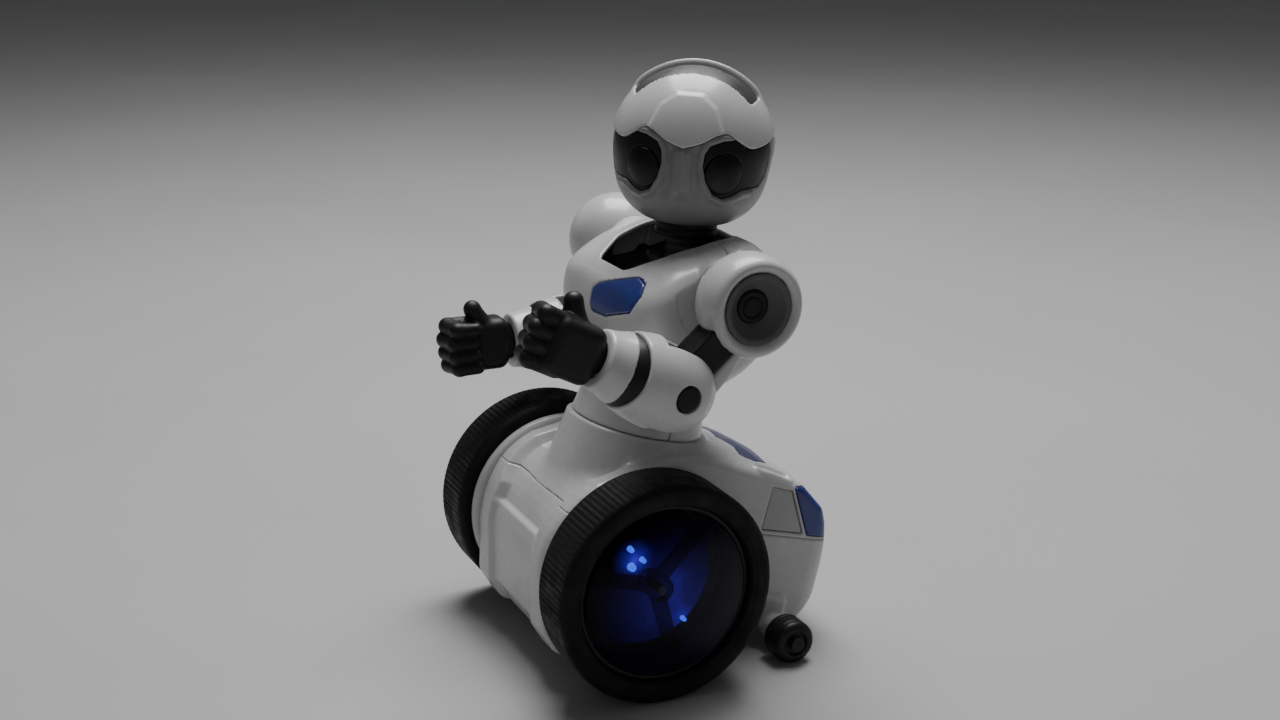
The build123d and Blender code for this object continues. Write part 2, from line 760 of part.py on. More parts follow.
palm_length = 20.0
finger_r = 4.2
finger_pitch = 7.4
with BuildPart() as hand:
    with BuildSketch(Plane.XZ.offset(wrist_s - 12)):
        Circle(wrist_r)
    extrude(amount=14)
    with BuildSketch(Plane.XZ.offset(wrist_s + 0.4)):
        RectangleRounded(18, 24, 7)
    with BuildSketch(Plane.XZ.offset(wrist_s + 10)):
        with Locations((1, 0)):
            RectangleRounded(15, 29, 6)
    with BuildSketch(Plane.XZ.offset(wrist_s + palm_length + 3)):
        with Locations((2, 0)):
            RectangleRounded(9, 27, 4)
    loft()
    for row in range(4):
        height = (1.5 - row) * finger_pitch
        knuckle_y = -wrist_s - palm_length - 13 + 1.2 * abs(row - 1.2)
        knuckle = Vector(2.5, knuckle_y, height)
        with BuildLine():
            finger = Polyline((2.5, -wrist_s - palm_length, height), knuckle,
                              (-8, knuckle_y + 2, height), (-9, knuckle_y + 12, height))
        with BuildSketch(Plane(origin=finger @ 0, z_dir=finger % 0)):
            Circle(finger_r)
        sweep(path=finger, transition=Transition.ROUND)
    with BuildLine():
        thumb = Spline((1, -wrist_s - 9, 9), (-1, -wrist_s - 14, 18), (-2, -wrist_s - 15, 23))
    with BuildSketch(Plane(origin=thumb @ 0, z_dir=thumb % 0)):
        Circle(4.6)
    sweep(path=thumb)
    with Locations(thumb @ 1):
        Sphere(4.6)

arm_pieces = (
    (ball.part, "shoulder_ball"),
    (shoulder_hub.part, "shoulder_hub"),
    (arm_core.part, "upper_arm_core"),
    (arm_cover.part, "upper_arm_cover"),
)
forearm_pieces = (
    (forearm_shell.part, "forearm_shell"),
    (elbow_pin.part, "elbow_pin"),
    (forearm_band.part, "forearm_band"),
    (hand.part, "hand"),
)
for side, sign in sides:
    swing = arm_swing if sign > 0 else arm_swing + right_arm_drop
    shoulder_place = stand * Pos(sign * shoulder_x, shoulder_y, shoulder_z) * Rot(swing, 0, 0)
    elbow_place = shoulder_place * Pos(0, 0, -arm_length) * Rot(elbow_bend, 0, 0)
    for place, pieces in ((shoulder_place, arm_pieces), (elbow_place, forearm_pieces)):
        for piece, name in pieces:
            keep(piece if sign > 0 else mirror(piece, about=Plane.YZ), f"{name}_{side}", place)

# ---------------------------------------------------------------- head, drawn facing -Y about its centre
turned_head = stand * head_place * Rot(0, 0, head_turn)
head_outer = Sphere(head_r)
head_inner = Sphere(head_r - head_shell)
lens_outer = Sphere(head_r - 0.6)
band_outer = Sphere(head_r - 1.2)
throat = Pos(0, 0, -head_r) * Cylinder(15, 24)
head_shell_form = head_outer - head_inner - throat

band_front = -13.0
band_rear = -7.0
brow_outline = outline((-50, 8), (-34, 6), (-22, 11), (-12, 8), (0, -4), (12, 8), (22, 11), (34, 6),
                       (50, 8), (50, 60), (-50, 60))
eye_outline = outline((10, -2), (16, 4), (26, 5), (40, 12), (46, 8), (44, -4), (28, -19), (18, -21),
                      (11, -15))
eye_prism = slab(eye_outline, Plane.XZ, 60)
eye_prism = eye_prism + mirror(eye_prism, about=Plane.YZ)
brow_prism = slab(brow_outline, Plane.XZ, 60)
front_half = Pos(0, band_front - 100, 0) * Box(200, 200, 200)
rear_half = Pos(0, band_rear + 100, 0) * Box(200, 200, 200)
band_slab = Pos(0, (band_front + band_rear) / 2, 100) * Box(200, band_rear - band_front, 216)
low_band = Pos(0, (band_front + band_rear) / 2, -108) * Box(200, band_rear - band_front, 200)

eye_lenses = (lens_outer - head_inner) & eye_prism
helmet_front = (head_shell_form & front_half & brow_prism) - eye_prism
face = (head_shell_form & front_half) - brow_prism - eye_prism
face = face + (head_shell_form & low_band)
helmet_band = (band_outer - head_inner) & band_slab
helmet_band = helmet_band - eye_prism
face = face - helmet_band - eye_prism
ridge_slab = Pos(0, band_rear + 4.5, 40) * Box(200, 9, 90)
ridge = (Sphere(head_r + ridge_rise) - Sphere(head_r - 1)) & ridge_slab
helmet_rear = (head_shell_form & rear_half) + ridge - eye_prism
for piece, name in ((helmet_front, "helmet_front"), (face, "face"), (helmet_band, "helmet_band"),
                    (helmet_rear, "helmet_rear"), (eye_lenses, "eye_lenses")):
    keep(piece, name, turned_head)

with BuildPart() as neck_ring:
    with BuildSketch(Plane.XY.offset(post_top - 10)):
        Circle(14.6)
        Circle(neck_r + running, mode=Mode.SUBTRACT)
    extrude(amount=12)
keep(neck_ring.part, "neck_ring", turned_head)
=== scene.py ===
import json
import math

import bpy
import numpy as np
from mathutils import Matrix, Vector


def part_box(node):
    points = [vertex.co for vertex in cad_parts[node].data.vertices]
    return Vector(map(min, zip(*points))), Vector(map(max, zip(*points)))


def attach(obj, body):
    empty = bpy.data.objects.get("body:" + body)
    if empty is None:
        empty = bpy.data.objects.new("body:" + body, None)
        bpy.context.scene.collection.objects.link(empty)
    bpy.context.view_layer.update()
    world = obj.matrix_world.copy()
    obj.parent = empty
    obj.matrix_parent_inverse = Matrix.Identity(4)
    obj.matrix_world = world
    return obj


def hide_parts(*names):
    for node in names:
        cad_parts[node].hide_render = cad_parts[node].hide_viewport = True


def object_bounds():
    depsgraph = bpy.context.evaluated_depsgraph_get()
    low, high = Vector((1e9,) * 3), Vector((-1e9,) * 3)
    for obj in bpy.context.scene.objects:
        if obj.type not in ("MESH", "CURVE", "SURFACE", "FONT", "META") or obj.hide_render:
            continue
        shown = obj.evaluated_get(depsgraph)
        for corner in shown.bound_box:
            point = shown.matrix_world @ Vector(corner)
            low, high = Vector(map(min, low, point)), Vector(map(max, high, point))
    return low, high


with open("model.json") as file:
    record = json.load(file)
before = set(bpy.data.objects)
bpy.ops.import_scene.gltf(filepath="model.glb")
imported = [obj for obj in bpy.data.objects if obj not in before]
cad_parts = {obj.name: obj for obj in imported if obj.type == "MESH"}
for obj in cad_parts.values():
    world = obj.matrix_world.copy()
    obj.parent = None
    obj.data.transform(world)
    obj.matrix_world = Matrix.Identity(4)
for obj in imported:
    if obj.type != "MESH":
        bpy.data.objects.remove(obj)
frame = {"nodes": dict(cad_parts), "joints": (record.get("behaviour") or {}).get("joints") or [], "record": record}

cad_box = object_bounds()

# The robot's moulded pieces are described by fields: functions that are negative inside a piece, in
# millimetres, in the frame of the body that the piece belongs to. net() turns a field into a closed mesh.

# ---------------------------------------------------------------- frames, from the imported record
MM = 0.001
record = frame["record"]
joints = {j["name"]: j for j in frame["joints"]}
mounts = {m["name"]: m for m in record["mounts"]}


def place(origin, x_axis, y_axis, z_axis):
    """A frame whose coordinates are millimetres along the given axes, as a 4x4 matrix to metres."""
    rows = Matrix((x_axis, y_axis, z_axis)).transposed() * MM
    return Matrix.Translation(Vector(origin)) @ rows.to_4x4()


def joint_at(name):
    return Vector(joints[name]["pos_m"])


LEFT = Vector((1, 0, 0))
UP = -Vector(mounts["battery_face"]["axis"]).normalized()
BACK = UP.cross(LEFT)
AXLE = joint_at("wheel_left_spin")
body = place(AXLE, LEFT, BACK, UP)
to_body = body.inverted()

HEAD_TURN = math.radians(56)  # how far the head looks to the robot's left
neck = Vector(joints["head_turn"]["axis"]).normalized()
ahead = (-BACK - (-BACK).dot(neck) * neck).normalized()
face_way = Matrix.Rotation(HEAD_TURN, 3, neck) @ ahead
head = place(joint_at("head_turn"), (-face_way).cross(neck), -face_way, neck)


def arm_frames(side, sign):
    """The frames of an upper arm, hanging along -Z, and a forearm, reaching along -Y from the elbow."""
    shoulder, elbow, wrist = [joint_at(name + side) for name in ("shoulder_", "elbow_", "wrist_")]
    hang, reach = (shoulder - elbow).normalized(), (elbow - wrist).normalized()
    upper = place(shoulder, LEFT * sign, hang.cross(LEFT), hang)
    lower = place(elbow, LEFT * sign, reach, LEFT.cross(reach))
    return upper, lower


# ---------------------------------------------------------------- sizes that several pieces share, mm
def size(node, axis):
    low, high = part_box(node)
    return (high[axis] - low[axis]) / MM


def edge(node, axis, high=True):
    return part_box(node)[1 if high else 0][axis] / MM


WHEEL_R = size("tyre_left", 2) / 2
TYRE_IN, TYRE_OUT = edge("tyre_left", 0, False), edge("tyre_left", 0)
RIM_R = size("rim_left", 2) / 2
DOME_R = size("hub_dome_left", 2) / 2
DOME_TOP = edge("hub_dome_left", 0)
FENDER_R = size("fender_left", 2) / 2
FENDER_OUT = edge("fender_left", 0)
BASE_HALF = edge("base_upper_shell", 0)
CASTER_R = size("caster_left", 2) / 2
CASTER_IN, CASTER_OUT = edge("caster_left", 0, False), edge("caster_left", 0)
CASTER = to_body @ joint_at("caster_left_spin")
SHOULDER = to_body @ joint_at("shoulder_left")
ARM = (joint_at("shoulder_left") - joint_at("elbow_left")).length / MM
WRIST = (joint_at("wrist_left") - joint_at("elbow_left")).length / MM
HEAD_R = -edge("helmet_rear", 0, False)
BOARD_R = size("light_boards", 2) / 2
TORSO_WALL, HEAD_WALL = 2.6, 2.6
BED = 1.6  # depth of the beds that the coloured panels lie in
SEAM = 22.0  # height above the axle of the base's shut line
GAP = 0.08  # half the shut line's width
WAIST_Z = 58.0  # height above the axle at which the torso stands on the base
AXLE_BORE = 2.05  # radius of the hole through a wheel


# ---------------------------------------------------------------- fields
def length(*parts):
    return np.sqrt(sum(p * p for p in parts))


def join(a, b, k):
    """Union of two fields with a fillet of about k."""
    h = np.clip(0.5 + 0.5 * (b - a) / k, 0, 1)
    return b * (1 - h) + a * h - k * h * (1 - h)


def meet(a, b, k):
    """Intersection with an edge rounded by about k."""
    return -join(-a, -b, k)


def cut(a, b, k):
    """Field a with field b taken away."""
    return meet(a, -b, k)


def capsule(x, y, z, a, b, r_a, r_b=None):
    """A rod from a to b with round ends, tapering from r_a to r_b."""
    a, b = np.array(a, np.float32), np.array(b, np.float32)
    d = b - a
    px, py, pz = x - a[0], y - a[1], z - a[2]
    t = np.clip((px * d[0] + py * d[1] + pz * d[2]) / float(d @ d), 0, 1)
    r = r_a if r_b is None else r_a + (r_b - r_a) * t
    return length(px - t * d[0], py - t * d[1], pz - t * d[2]) - r


def slab_2d(u, v, half_u, half_v, r):
    """A rounded rectangle about the origin."""
    qu, qv = np.abs(u) - half_u + r, np.abs(v) - half_v + r
    return length(np.maximum(qu, 0), np.maximum(qv, 0)) + np.minimum(np.maximum(qu, qv), 0) - r


def polygon(u, v, points):
    """Signed distance to a closed polygon."""
    pts = np.array(points, np.float32)
    nearest = np.full(u.shape, 1e9, np.float32)
    inside = np.zeros(u.shape, bool)
    for i in range(len(pts)):
        a, b = pts[i - 1], pts[i]
        e = b - a
        wu, wv = u - a[0], v - a[1]
        t = np.clip((wu * e[0] + wv * e[1]) / float(e @ e), 0, 1)
        nearest = np.minimum(nearest, (wu - t * e[0]) ** 2 + (wv - t * e[1]) ** 2)
        crosses = (a[1] > v) != (b[1] > v)
        slope = e[0] / e[1] if abs(e[1]) > 1e-9 else 0
        inside ^= crosses & (u < a[0] + (v - a[1]) * slope)
    return np.where(inside, -1, 1) * np.sqrt(nearest)


def curve(t, ts, vs):
    """A smooth curve through (ts, vs), flat beyond its ends."""
    ts, vs = np.array(ts, float), np.array(vs, float)
    slopes = np.gradient(vs, ts)
    t = np.clip(t, ts[0], ts[-1])
    i = np.clip(np.searchsorted(ts, t) - 1, 0, len(ts) - 2)
    h = ts[i + 1] - ts[i]
    s = (t - ts[i]) / h
    a, b = vs[i], vs[i + 1]
    ma, mb = slopes[i] * h, slopes[i + 1] * h
    return a + s * (ma + s * (3 * (b - a) - 2 * ma - mb + s * (2 * (a - b) + ma + mb)))


def eased(t):
    """0 below 0, 1 above 1, and smooth between."""
    t = np.clip(t, 0, 1)
    return t * t * (3 - 2 * t)


def bump(d, width):
    """A rounded ridge profile: 1 at d = 0, falling to 0 at d = width."""
    t = np.clip(1 - (d / width) ** 2, 0, 1)
    return t * t


def shell(d, thickness):
    """A hollow form's wall, from its outer surface in."""
    return meet(d, -(d + thickness), 0.3)


# ---------------------------------------------------------------- meshes from fields
BLOCK = 8  # grid cells along a block that is filled at once
BATCH = 1500  # blocks worked out together, to bound the memory used


def sample(field, low, high, step):
    """Grid values of a field, worked out only near its surface and filled coarsely elsewhere."""
    counts = np.ceil((np.array(high) - np.array(low)) / (step * BLOCK)).astype(int) + 1
    centres = [low[a] + (np.arange(counts[a]) + 0.5) * BLOCK * step for a in range(3)]
    coarse = field(*[g.astype(np.float32) for g in np.meshgrid(*centres, indexing="ij")])
    near = np.argwhere(np.abs(coarse) < BLOCK * step * 1.25 + 1.5)
    values = coarse.astype(np.float32)
    for axis in range(3):
        values = np.repeat(values, BLOCK, axis)
    inner = np.stack(np.meshgrid(*[np.arange(BLOCK)] * 3, indexing="ij"), -1).reshape(-1, 3)
    for part in np.array_split(near, max(1, len(near) // BATCH)):
        points = (part[:, None, :] * BLOCK + inner[None]).reshape(-1, 3)
        where = [low[a] + points[:, a].astype(np.float32) * step for a in range(3)]
        values[points[:, 0], points[:, 1], points[:, 2]] = field(*where)
    return values


CORNERS = np.array([(i, j, k) for i in (0, 1) for j in (0, 1) for k in (0, 1)])
EDGES = [(a, b) for a in range(8) for b in range(a + 1, 8) if np.abs(CORNERS[a] - CORNERS[b]).sum() == 1]


def slope_of(field, p, reach=0.08):
    """A field's value and gradient at points, with the gradient taken over a short reach."""
    parts = []
    for axis in range(3):
        step = np.zeros(3)
        step[axis] = reach
        parts.append((field(*(p + step).T) - field(*(p - step).T)) / (2 * reach))
    return field(*p.T), np.stack(parts, 1)


def surface(field, low, high, step):
    """Vertices and quads of a field's zero surface, by surface nets, drawn onto the exact surface."""
    values = sample(field, low, high, step)
    inside = values < 0
    total = np.zeros([n - 1 for n in inside.shape], np.uint8)
    for i, j, k in CORNERS:
        total += inside[i:i + total.shape[0], j:j + total.shape[1], k:k + total.shape[2]]
    cells = (total > 0) & (total < 8)
    at = np.argwhere(cells)
    sums, hits = np.zeros((len(at), 3)), np.zeros(len(at))
    corner = [values[tuple((at + c).T)] for c in CORNERS]
    for a, b in EDGES:
        crossed = (corner[a] < 0) != (corner[b] < 0)
        t = corner[a][crossed] / (corner[a][crossed] - corner[b][crossed])
        sums[crossed] += CORNERS[a] + t[:, None] * (CORNERS[b] - CORNERS[a])
        hits[crossed] += 1
    points = np.array(low) + (at + sums / hits[:, None]) * step
    number = np.full(cells.shape, -1, np.int32)
    number[cells] = np.arange(len(at))
    quads = []
    for axis in range(3):
        u, v = [(1, 2), (2, 0), (0, 1)][axis]
        ahead_of = np.roll(inside, -1, axis)
        change = np.argwhere(inside != ahead_of)
        keep = (change[:, axis] < inside.shape[axis] - 1) & (change[:, u] > 0) & (change[:, v] > 0)
        keep &= (change[:, u] < inside.shape[u] - 1) & (change[:, v] < inside.shape[v] - 1)
        change = change[keep]
        outward = inside[tuple(change.T)]
        ring = []
        for du, dv in ((0, 0), (1, 0), (1, 1), (0, 1)):
            c = change.copy()
            c[:, u] -= du
            c[:, v] -= dv
            ring.append(number[tuple(c.T)])
        quad = np.stack(ring, 1)
        quad[~outward] = quad[~outward][:, ::-1]
        quads.append(quad)
    quads = np.concatenate(quads)
    links = np.concatenate([quads[:, [i, (i + 1) % 4]] for i in range(4)])
    for relax in (0.5, 0.5, 0):
        if relax:
            total_at, count = np.zeros_like(points), np.zeros(len(points))
            for a, b in ((0, 1), (1, 0)):
                np.add.at(total_at, links[:, a], points[links[:, b]])
                np.add.at(count, links[:, a], 1)
            points += relax * (total_at / np.maximum(count, 1)[:, None] - points)
        for _ in range(2):
            value, slope = slope_of(field, points)
            pull = value[:, None] * slope / np.maximum((slope ** 2).sum(1), 0.05)[:, None]
            far = np.maximum(np.linalg.norm(pull, axis=1) / (0.6 * step), 1)
            points -= pull / far[:, None]
    return points, quads


def net(name, field, low, high, step, where, material, rides, stands_for=()):
    """A piece from a field: meshed in the frame `where`, riding on a body in place of CAD nodes."""
    points, quads = surface(field, low, high, step)
    matrix = np.array(where)
    world = points @ matrix[:3, :3].T + matrix[:3, 3]
    if np.linalg.det(matrix[:3, :3]) < 0:
        quads = quads[:, ::-1]
    mesh = bpy.data.meshes.new(name)
    mesh.vertices.add(len(world))
    mesh.vertices.foreach_set("co", world.astype(np.float32).ravel())
    mesh.loops.add(quads.size)
    mesh.loops.foreach_set("vertex_index", quads.ravel().astype(np.int32))
    mesh.polygons.add(len(quads))
    mesh.polygons.foreach_set("loop_start", np.arange(0, quads.size, 4, dtype=np.int32))
    mesh.polygons.foreach_set("use_smooth", np.ones(len(quads), bool))
    mesh.update()
    mesh.validate()
    piece = bpy.data.objects.new(name, mesh)
    bpy.context.scene.collection.objects.link(piece)
    piece.data.materials.append(material)
    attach(piece, rides)
    if stands_for:
        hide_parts(*stands_for)
    return piece


# ---------------------------------------------------------------- materials
def node(tree, kind, inputs=None, **values):
    made = tree.nodes.new(kind)
    for key, value in values.items():
        setattr(made, key, value)
    for key, value in (inputs or {}).items():
        if isinstance(value, bpy.types.NodeSocket):
            tree.links.new(value, made.inputs[key])
        else:
            made.inputs[key].default_value = value
    return made


def noise(tree, where, scale, detail=3.0):
    made = node(tree, "ShaderNodeTexNoise", {"Vector": where, "Scale": scale, "Detail": detail})
    return made.outputs["Fac"]


def ranged(tree, value, low, high, to_low, to_high):
    """A value's range from low to high, mapped onto another."""
    made = node(tree, "ShaderNodeMapRange", {"Value": value, "From Min": low, "From Max": high,
                                             "To Min": to_low, "To Max": to_high})
    return made.outputs["Result"]


def blended(tree, share, a, b):
    """Two colours mixed by a share between 0 and 1."""
    made = node(tree, "ShaderNodeMix", data_type="RGBA")
    for key, value in ((0, share), (6, a), (7, b)):
        if isinstance(value, bpy.types.NodeSocket):
            tree.links.new(value, made.inputs[key])
        else:
            made.inputs[key].default_value = value if key == 0 else (*value, 1)
    return made.outputs[2]


def math_node(tree, operation, a, b):
    return node(tree, "ShaderNodeMath", {0: a, 1: b}, operation=operation).outputs[0]


def glow_spots(tree, where, spots):
    """Light in soft round patches about points of a wheel's board, each (y, z, radius, strength) in mm."""
    across = node(tree, "ShaderNodeVectorMath", {0: where, 1: (0, 1, 1)}, operation="MULTIPLY").outputs[0]
    total = None
    for y, z, radius, strength in spots:
        centre = body @ Vector((0, y, z))
        away = node(tree, "ShaderNodeVectorMath", {0: across, 1: (0, centre.y, centre.z)},
                    operation="DISTANCE")
        patch = ranged(tree, away.outputs["Value"], 0.0, radius * MM, 1.0, 0.0)
        patch = math_node(tree, "MULTIPLY", math_node(tree, "POWER", patch, 2.0), strength)
        total = patch if total is None else math_node(tree, "ADD", total, patch)
    return total


def finish_of(name, slot, colour, shade, rough, grain=1400.0, bumps=0.06, wear=0.25, metallic=0.0,
              coat=0.0, specular=0.5, tint=None, glow=None, spots=()):
    """A material: two close colours in soft patches, uneven gloss, a moulded grain, and paler worn edges.

    tint makes it clear with that colour when seen square on. glow is (colour, strength), and spots
    keeps the glow to soft round patches.
    """
    material = bpy.data.materials.new(name)
    material.use_nodes = True
    material["slot"] = slot
    tree = material.node_tree
    tree.nodes.clear()
    where = node(tree, "ShaderNodeTexCoord").outputs["Object"]
    patches = ranged(tree, noise(tree, where, 45.0), 0.35, 0.65, 0.0, 1.0)
    colours = blended(tree, patches, colour, shade)
    point = node(tree, "ShaderNodeNewGeometry").outputs["Pointiness"]
    rubbed = ranged(tree, noise(tree, where, 260.0), 0.4, 0.6, 0.2, 1.0)
    edges = ranged(tree, point, 0.515, 0.60, 0.0, wear)
    worn = tuple(min(1, c * 1.3 + 0.05) for c in colour)
    colours = blended(tree, math_node(tree, "MULTIPLY", edges, rubbed), colours, worn)
    scuffs = noise(tree, where, 120.0, 6.0)
    gloss = ranged(tree, scuffs, 0.3, 0.7, max(0.03, rough * 0.75), rough * 1.3)
    fine = noise(tree, where, grain, 2.0)
    relief = node(tree, "ShaderNodeBump", {"Height": fine, "Strength": bumps, "Distance": 0.0004})
    shader = node(tree, "ShaderNodeBsdfPrincipled",
                  {"Base Color": colours, "Roughness": gloss, "Normal": relief.outputs["Normal"],
                   "Metallic": metallic, "Coat Weight": coat, "Coat Roughness": 0.12,
                   "Specular IOR Level": specular})
    if glow is not None:
        hot = ranged(tree, noise(tree, where, 160.0), 0.3, 0.7, glow[1] * 0.7, glow[1] * 1.2)
        if spots:
            hot = math_node(tree, "MULTIPLY", hot, glow_spots(tree, where, spots))
        shader.inputs["Emission Color"].default_value = (*glow[0], 1)
        tree.links.new(hot, shader.inputs["Emission Strength"])
    result = shader.outputs[0]
    if tint is not None:
        facing = node(tree, "ShaderNodeLayerWeight", {"Blend": 0.3}).outputs["Facing"]
        solid = ranged(tree, facing, 0.0, 1.0, 0.08, 1.0)
        clear = node(tree, "ShaderNodeBsdfTransparent", {"Color": (*tint, 1)})
        result = node(tree, "ShaderNodeMixShader", {0: solid, 1: clear.outputs[0], 2: result}).outputs[0]
    node(tree, "ShaderNodeOutputMaterial", {"Surface": result})
    if glow is not None:
        material.cycles.emission_sampling = "NONE"
    return material


white = finish_of("white_gloss", "white_plastic", (0.60, 0.60, 0.60), (0.555, 0.555, 0.56), 0.30,
                  coat=0.25)
# The face is the helmet's white plastic, coloured grey as painted shade.
face_painted_shade = finish_of("face_painted_shade_satin", "white_plastic", (0.27, 0.27, 0.275), (0.24, 0.24, 0.25), 0.42,
                      coat=0.1)
pale_grey = finish_of("pale_grey_satin", "grey_plastic", (0.46, 0.46, 0.465), (0.42, 0.42, 0.43), 0.36,
                      coat=0.1)
grey = finish_of("grey_satin", "grey_plastic", (0.20, 0.20, 0.21), (0.165, 0.165, 0.17), 0.42)
dark = finish_of("dark_grey_satin", "grey_plastic", (0.050, 0.051, 0.053), (0.040, 0.041, 0.043), 0.5)
black = finish_of("black_satin", "black_plastic", (0.010, 0.010, 0.011), (0.007, 0.007, 0.008), 0.46,
                  wear=0.1, specular=0.35)
hoop_grey = finish_of("hoop_satin", "black_plastic", (0.040, 0.037, 0.033), (0.032, 0.030, 0.027), 0.5,
                      wear=0.05, bumps=0.02, specular=0.3)
blue = finish_of("blue_gloss", "blue_plastic", (0.022, 0.040, 0.235), (0.018, 0.032, 0.20), 0.28, coat=0.3)
faded_blue = finish_of("blue_faded", "blue_plastic", (0.050, 0.055, 0.13), (0.042, 0.047, 0.115), 0.34,
                       coat=0.2)
# Dark grey: painted shade in the helmet's crown groove, and the collar plate's own colour.
crown_shade_and_collar_grey = finish_of("crown_shade_and_collar_satin", "grey_plastic", (0.050, 0.050, 0.052), (0.040, 0.040, 0.042), 0.45)
# Painted shade: the dark grey lining stands for shadow inside the white ball's mouth.
mouth_painted_shade = finish_of("mouth_painted_shade_satin", "grey_plastic", (0.13, 0.13, 0.135), (0.10, 0.10, 0.105), 0.5,
                       specular=0.3)
rubber = finish_of("tyre_rubber", "tyre_rubber", (0.007, 0.007, 0.007), (0.005, 0.005, 0.005), 0.6,
                   grain=2200.0, bumps=0.25, wear=0.10, specular=0.25)
smoke = finish_of("smoked_clear", "smoked_plastic", (0.003, 0.003, 0.006), (0.002, 0.002, 0.005), 0.14,
                  wear=0.0, coat=0.4, specular=0.5, tint=(0.52, 0.52, 0.62), bumps=0.01)
eye_wing = finish_of("lens_smoked", "lens_plastic", (0.011, 0.011, 0.012), (0.008, 0.008, 0.009), 0.34,
                     wear=0.02, specular=0.35)
eye_core = finish_of("lens_black", "lens_plastic", (0.003, 0.003, 0.004), (0.002, 0.002, 0.003), 0.34,
                     wear=0.0, specular=0.35)
# Painted light: the board is no lamp, and these patches paint pools of the lamps' blue glow onto it as emission.
BOARD_GLOW = [(-6, 6, 12, 1.7), (16, -3, 15, 0.32), (18, -12, 42, 0.46), (26, -19, 9, 0.9)]
lit_board = finish_of("light_board_lit", "circuit_board", (0.006, 0.008, 0.030), (0.004, 0.006, 0.022), 0.45,
                      wear=0.0, specular=0.2, glow=((0.11, 0.04, 1.0), 1.0), spots=BOARD_GLOW)
lamp = finish_of("lamp_lit", "light_plastic", (0.20, 0.30, 0.95), (0.15, 0.22, 0.9), 0.2,
                 glow=((0.05, 0.16, 1.0), 4.5), wear=0.0)
board_green = finish_of("circuit_green", "circuit_board", (0.015, 0.11, 0.045), (0.012, 0.085, 0.035), 0.35)
steel = finish_of("steel_brushed", "steel", (0.55, 0.55, 0.56), (0.47, 0.47, 0.49), 0.28, metallic=1.0,
                  grain=2600.0)
wrap = finish_of("battery_wrap", "battery_wrap", (0.03, 0.09, 0.06), (0.025, 0.07, 0.05), 0.3)
nylon = finish_of("gear_nylon", "gear_plastic", (0.62, 0.58, 0.46), (0.56, 0.52, 0.41), 0.45)


# ---------------------------------------------------------------- base
PROFILE_R = 8
FRONT_R = 38


def base_profile():
    """The base's side outline drawn in by PROFILE_R, as (y, z), with a round front about the axle."""
    front = [(FRONT_R * math.cos(a), FRONT_R * math.sin(a)) for a in np.radians(np.arange(128, 203, 6))]
    low = [(-31, -32), (-25, -38), (15, -33), (44, -13), (91, -12.5), (98.5, -5)]
    return front + low + [(98.5, 8), (95.5, 18), (88.5, 33), (77, 42.5), (60, 46.5), (38, 49), (10, 46)]


PROFILE = base_profile()
SKIRT_Z = 8


def ellipse_dist(x, y, half_x, half_y, power=2.0):
    """About the distance to a superellipse whose half widths may be arrays."""
    reach = (np.abs(x / half_x) ** power + np.abs(y / half_y) ** power) ** (1 / power)
    return (reach - 1) * np.minimum(half_x, half_y)


def base_form(x, y, z):
    """The base's outer surface: a hull with a sunken middle in front and a skirt up to the waist."""
    side = np.abs(x)
    hull = polygon(y, z, PROFILE) - PROFILE_R
    front = np.clip((8 - y) / 24, 0, 1)
    ledge = eased((6.5 - z) / 2.5)
    arch = np.maximum(34.5 - 0.016 * (z - 34) ** 2, 28)
    middle = eased((arch - side) / 5)
    hull += front * middle * (4.6 - 2.4 * ledge)
    crown = 0.0016 * x * x * np.clip((z - 30) / 20, 0, 1) * np.clip((y - 25) / 15, 0, 1)
    plan = slab_2d(x, y - 27, BASE_HALF, 80, 16)
    hull = meet(hull + crown, plan, 5)
    up = np.clip((z - SKIRT_Z) / (WAIST_Z - SKIRT_Z), 0, 1)
    half_x, half_y = 33.5 - 0.9 * up, 40 - 7.2 * up
    skirt = meet(ellipse_dist(x, y - 3 - 2.5 * up, half_x, half_y, 2.2), z - WAIST_Z, 1.5)
    skirt = meet(skirt, 14 - z, 6)
    return join(hull, skirt, 5)


DECK = [(-25, 54), (-13, 57.5), (0, 54.5), (13, 57.5), (25, 54), (26.5, 57), (24, 64), (0, 68), (-24, 64),
        (-26.5, 57)]
FLANK = [(62.5, 25), (83.5, 25), (72.5, 44), (62.5, 45)]
TAIL = [(88, 25), (125, 25), (125, 45.5), (76, 45.5)]


# A zone is the distance to a panel's outline, cut off where the base's surface isn't meant.
def deck_zone(x, y, z):
    return np.maximum(polygon(x, y, DECK) - 3, 40 - z)


def flank_zone(x, y, z):
    return np.maximum(polygon(y, z, FLANK) - 1.0, 34 - np.abs(x))


def tail_zone(x, y, z):
    return polygon(y, z, TAIL) - 1.5


def loop_zone(x, y, z):
    """Distance to the outline of a long oval on the rear shoulder, above each side panel."""
    return np.maximum(slab_2d(np.abs(x) - 38, y - 63, 4.2, 11, 4.2), 40 - z)


def base_skin(x, y, z):
    """The base with its panels' beds, the loops and the shut lines pressed in."""
    form = base_form(x, y, z)
    form = cut(form, meet(deck_zone(x, y, z), -form - BED, 0.2), 0.5)
    form = cut(form, meet(tail_zone(x, y, z), -form - BED, 0.2), 0.5)
    form = cut(form, meet(flank_zone(x, y, z), -form - BED - 0.7, 0.2), 0.7)
    loop = loop_zone(x, y, z)
    return form - 0.8 * bump(loop, 1.7) + 0.9 * eased(-(loop + 0.8) / 1.6)


def base_upper(x, y, z):
    return meet(shell(base_skin(x, y, z), 3.2), SEAM + GAP - z, 0.25)


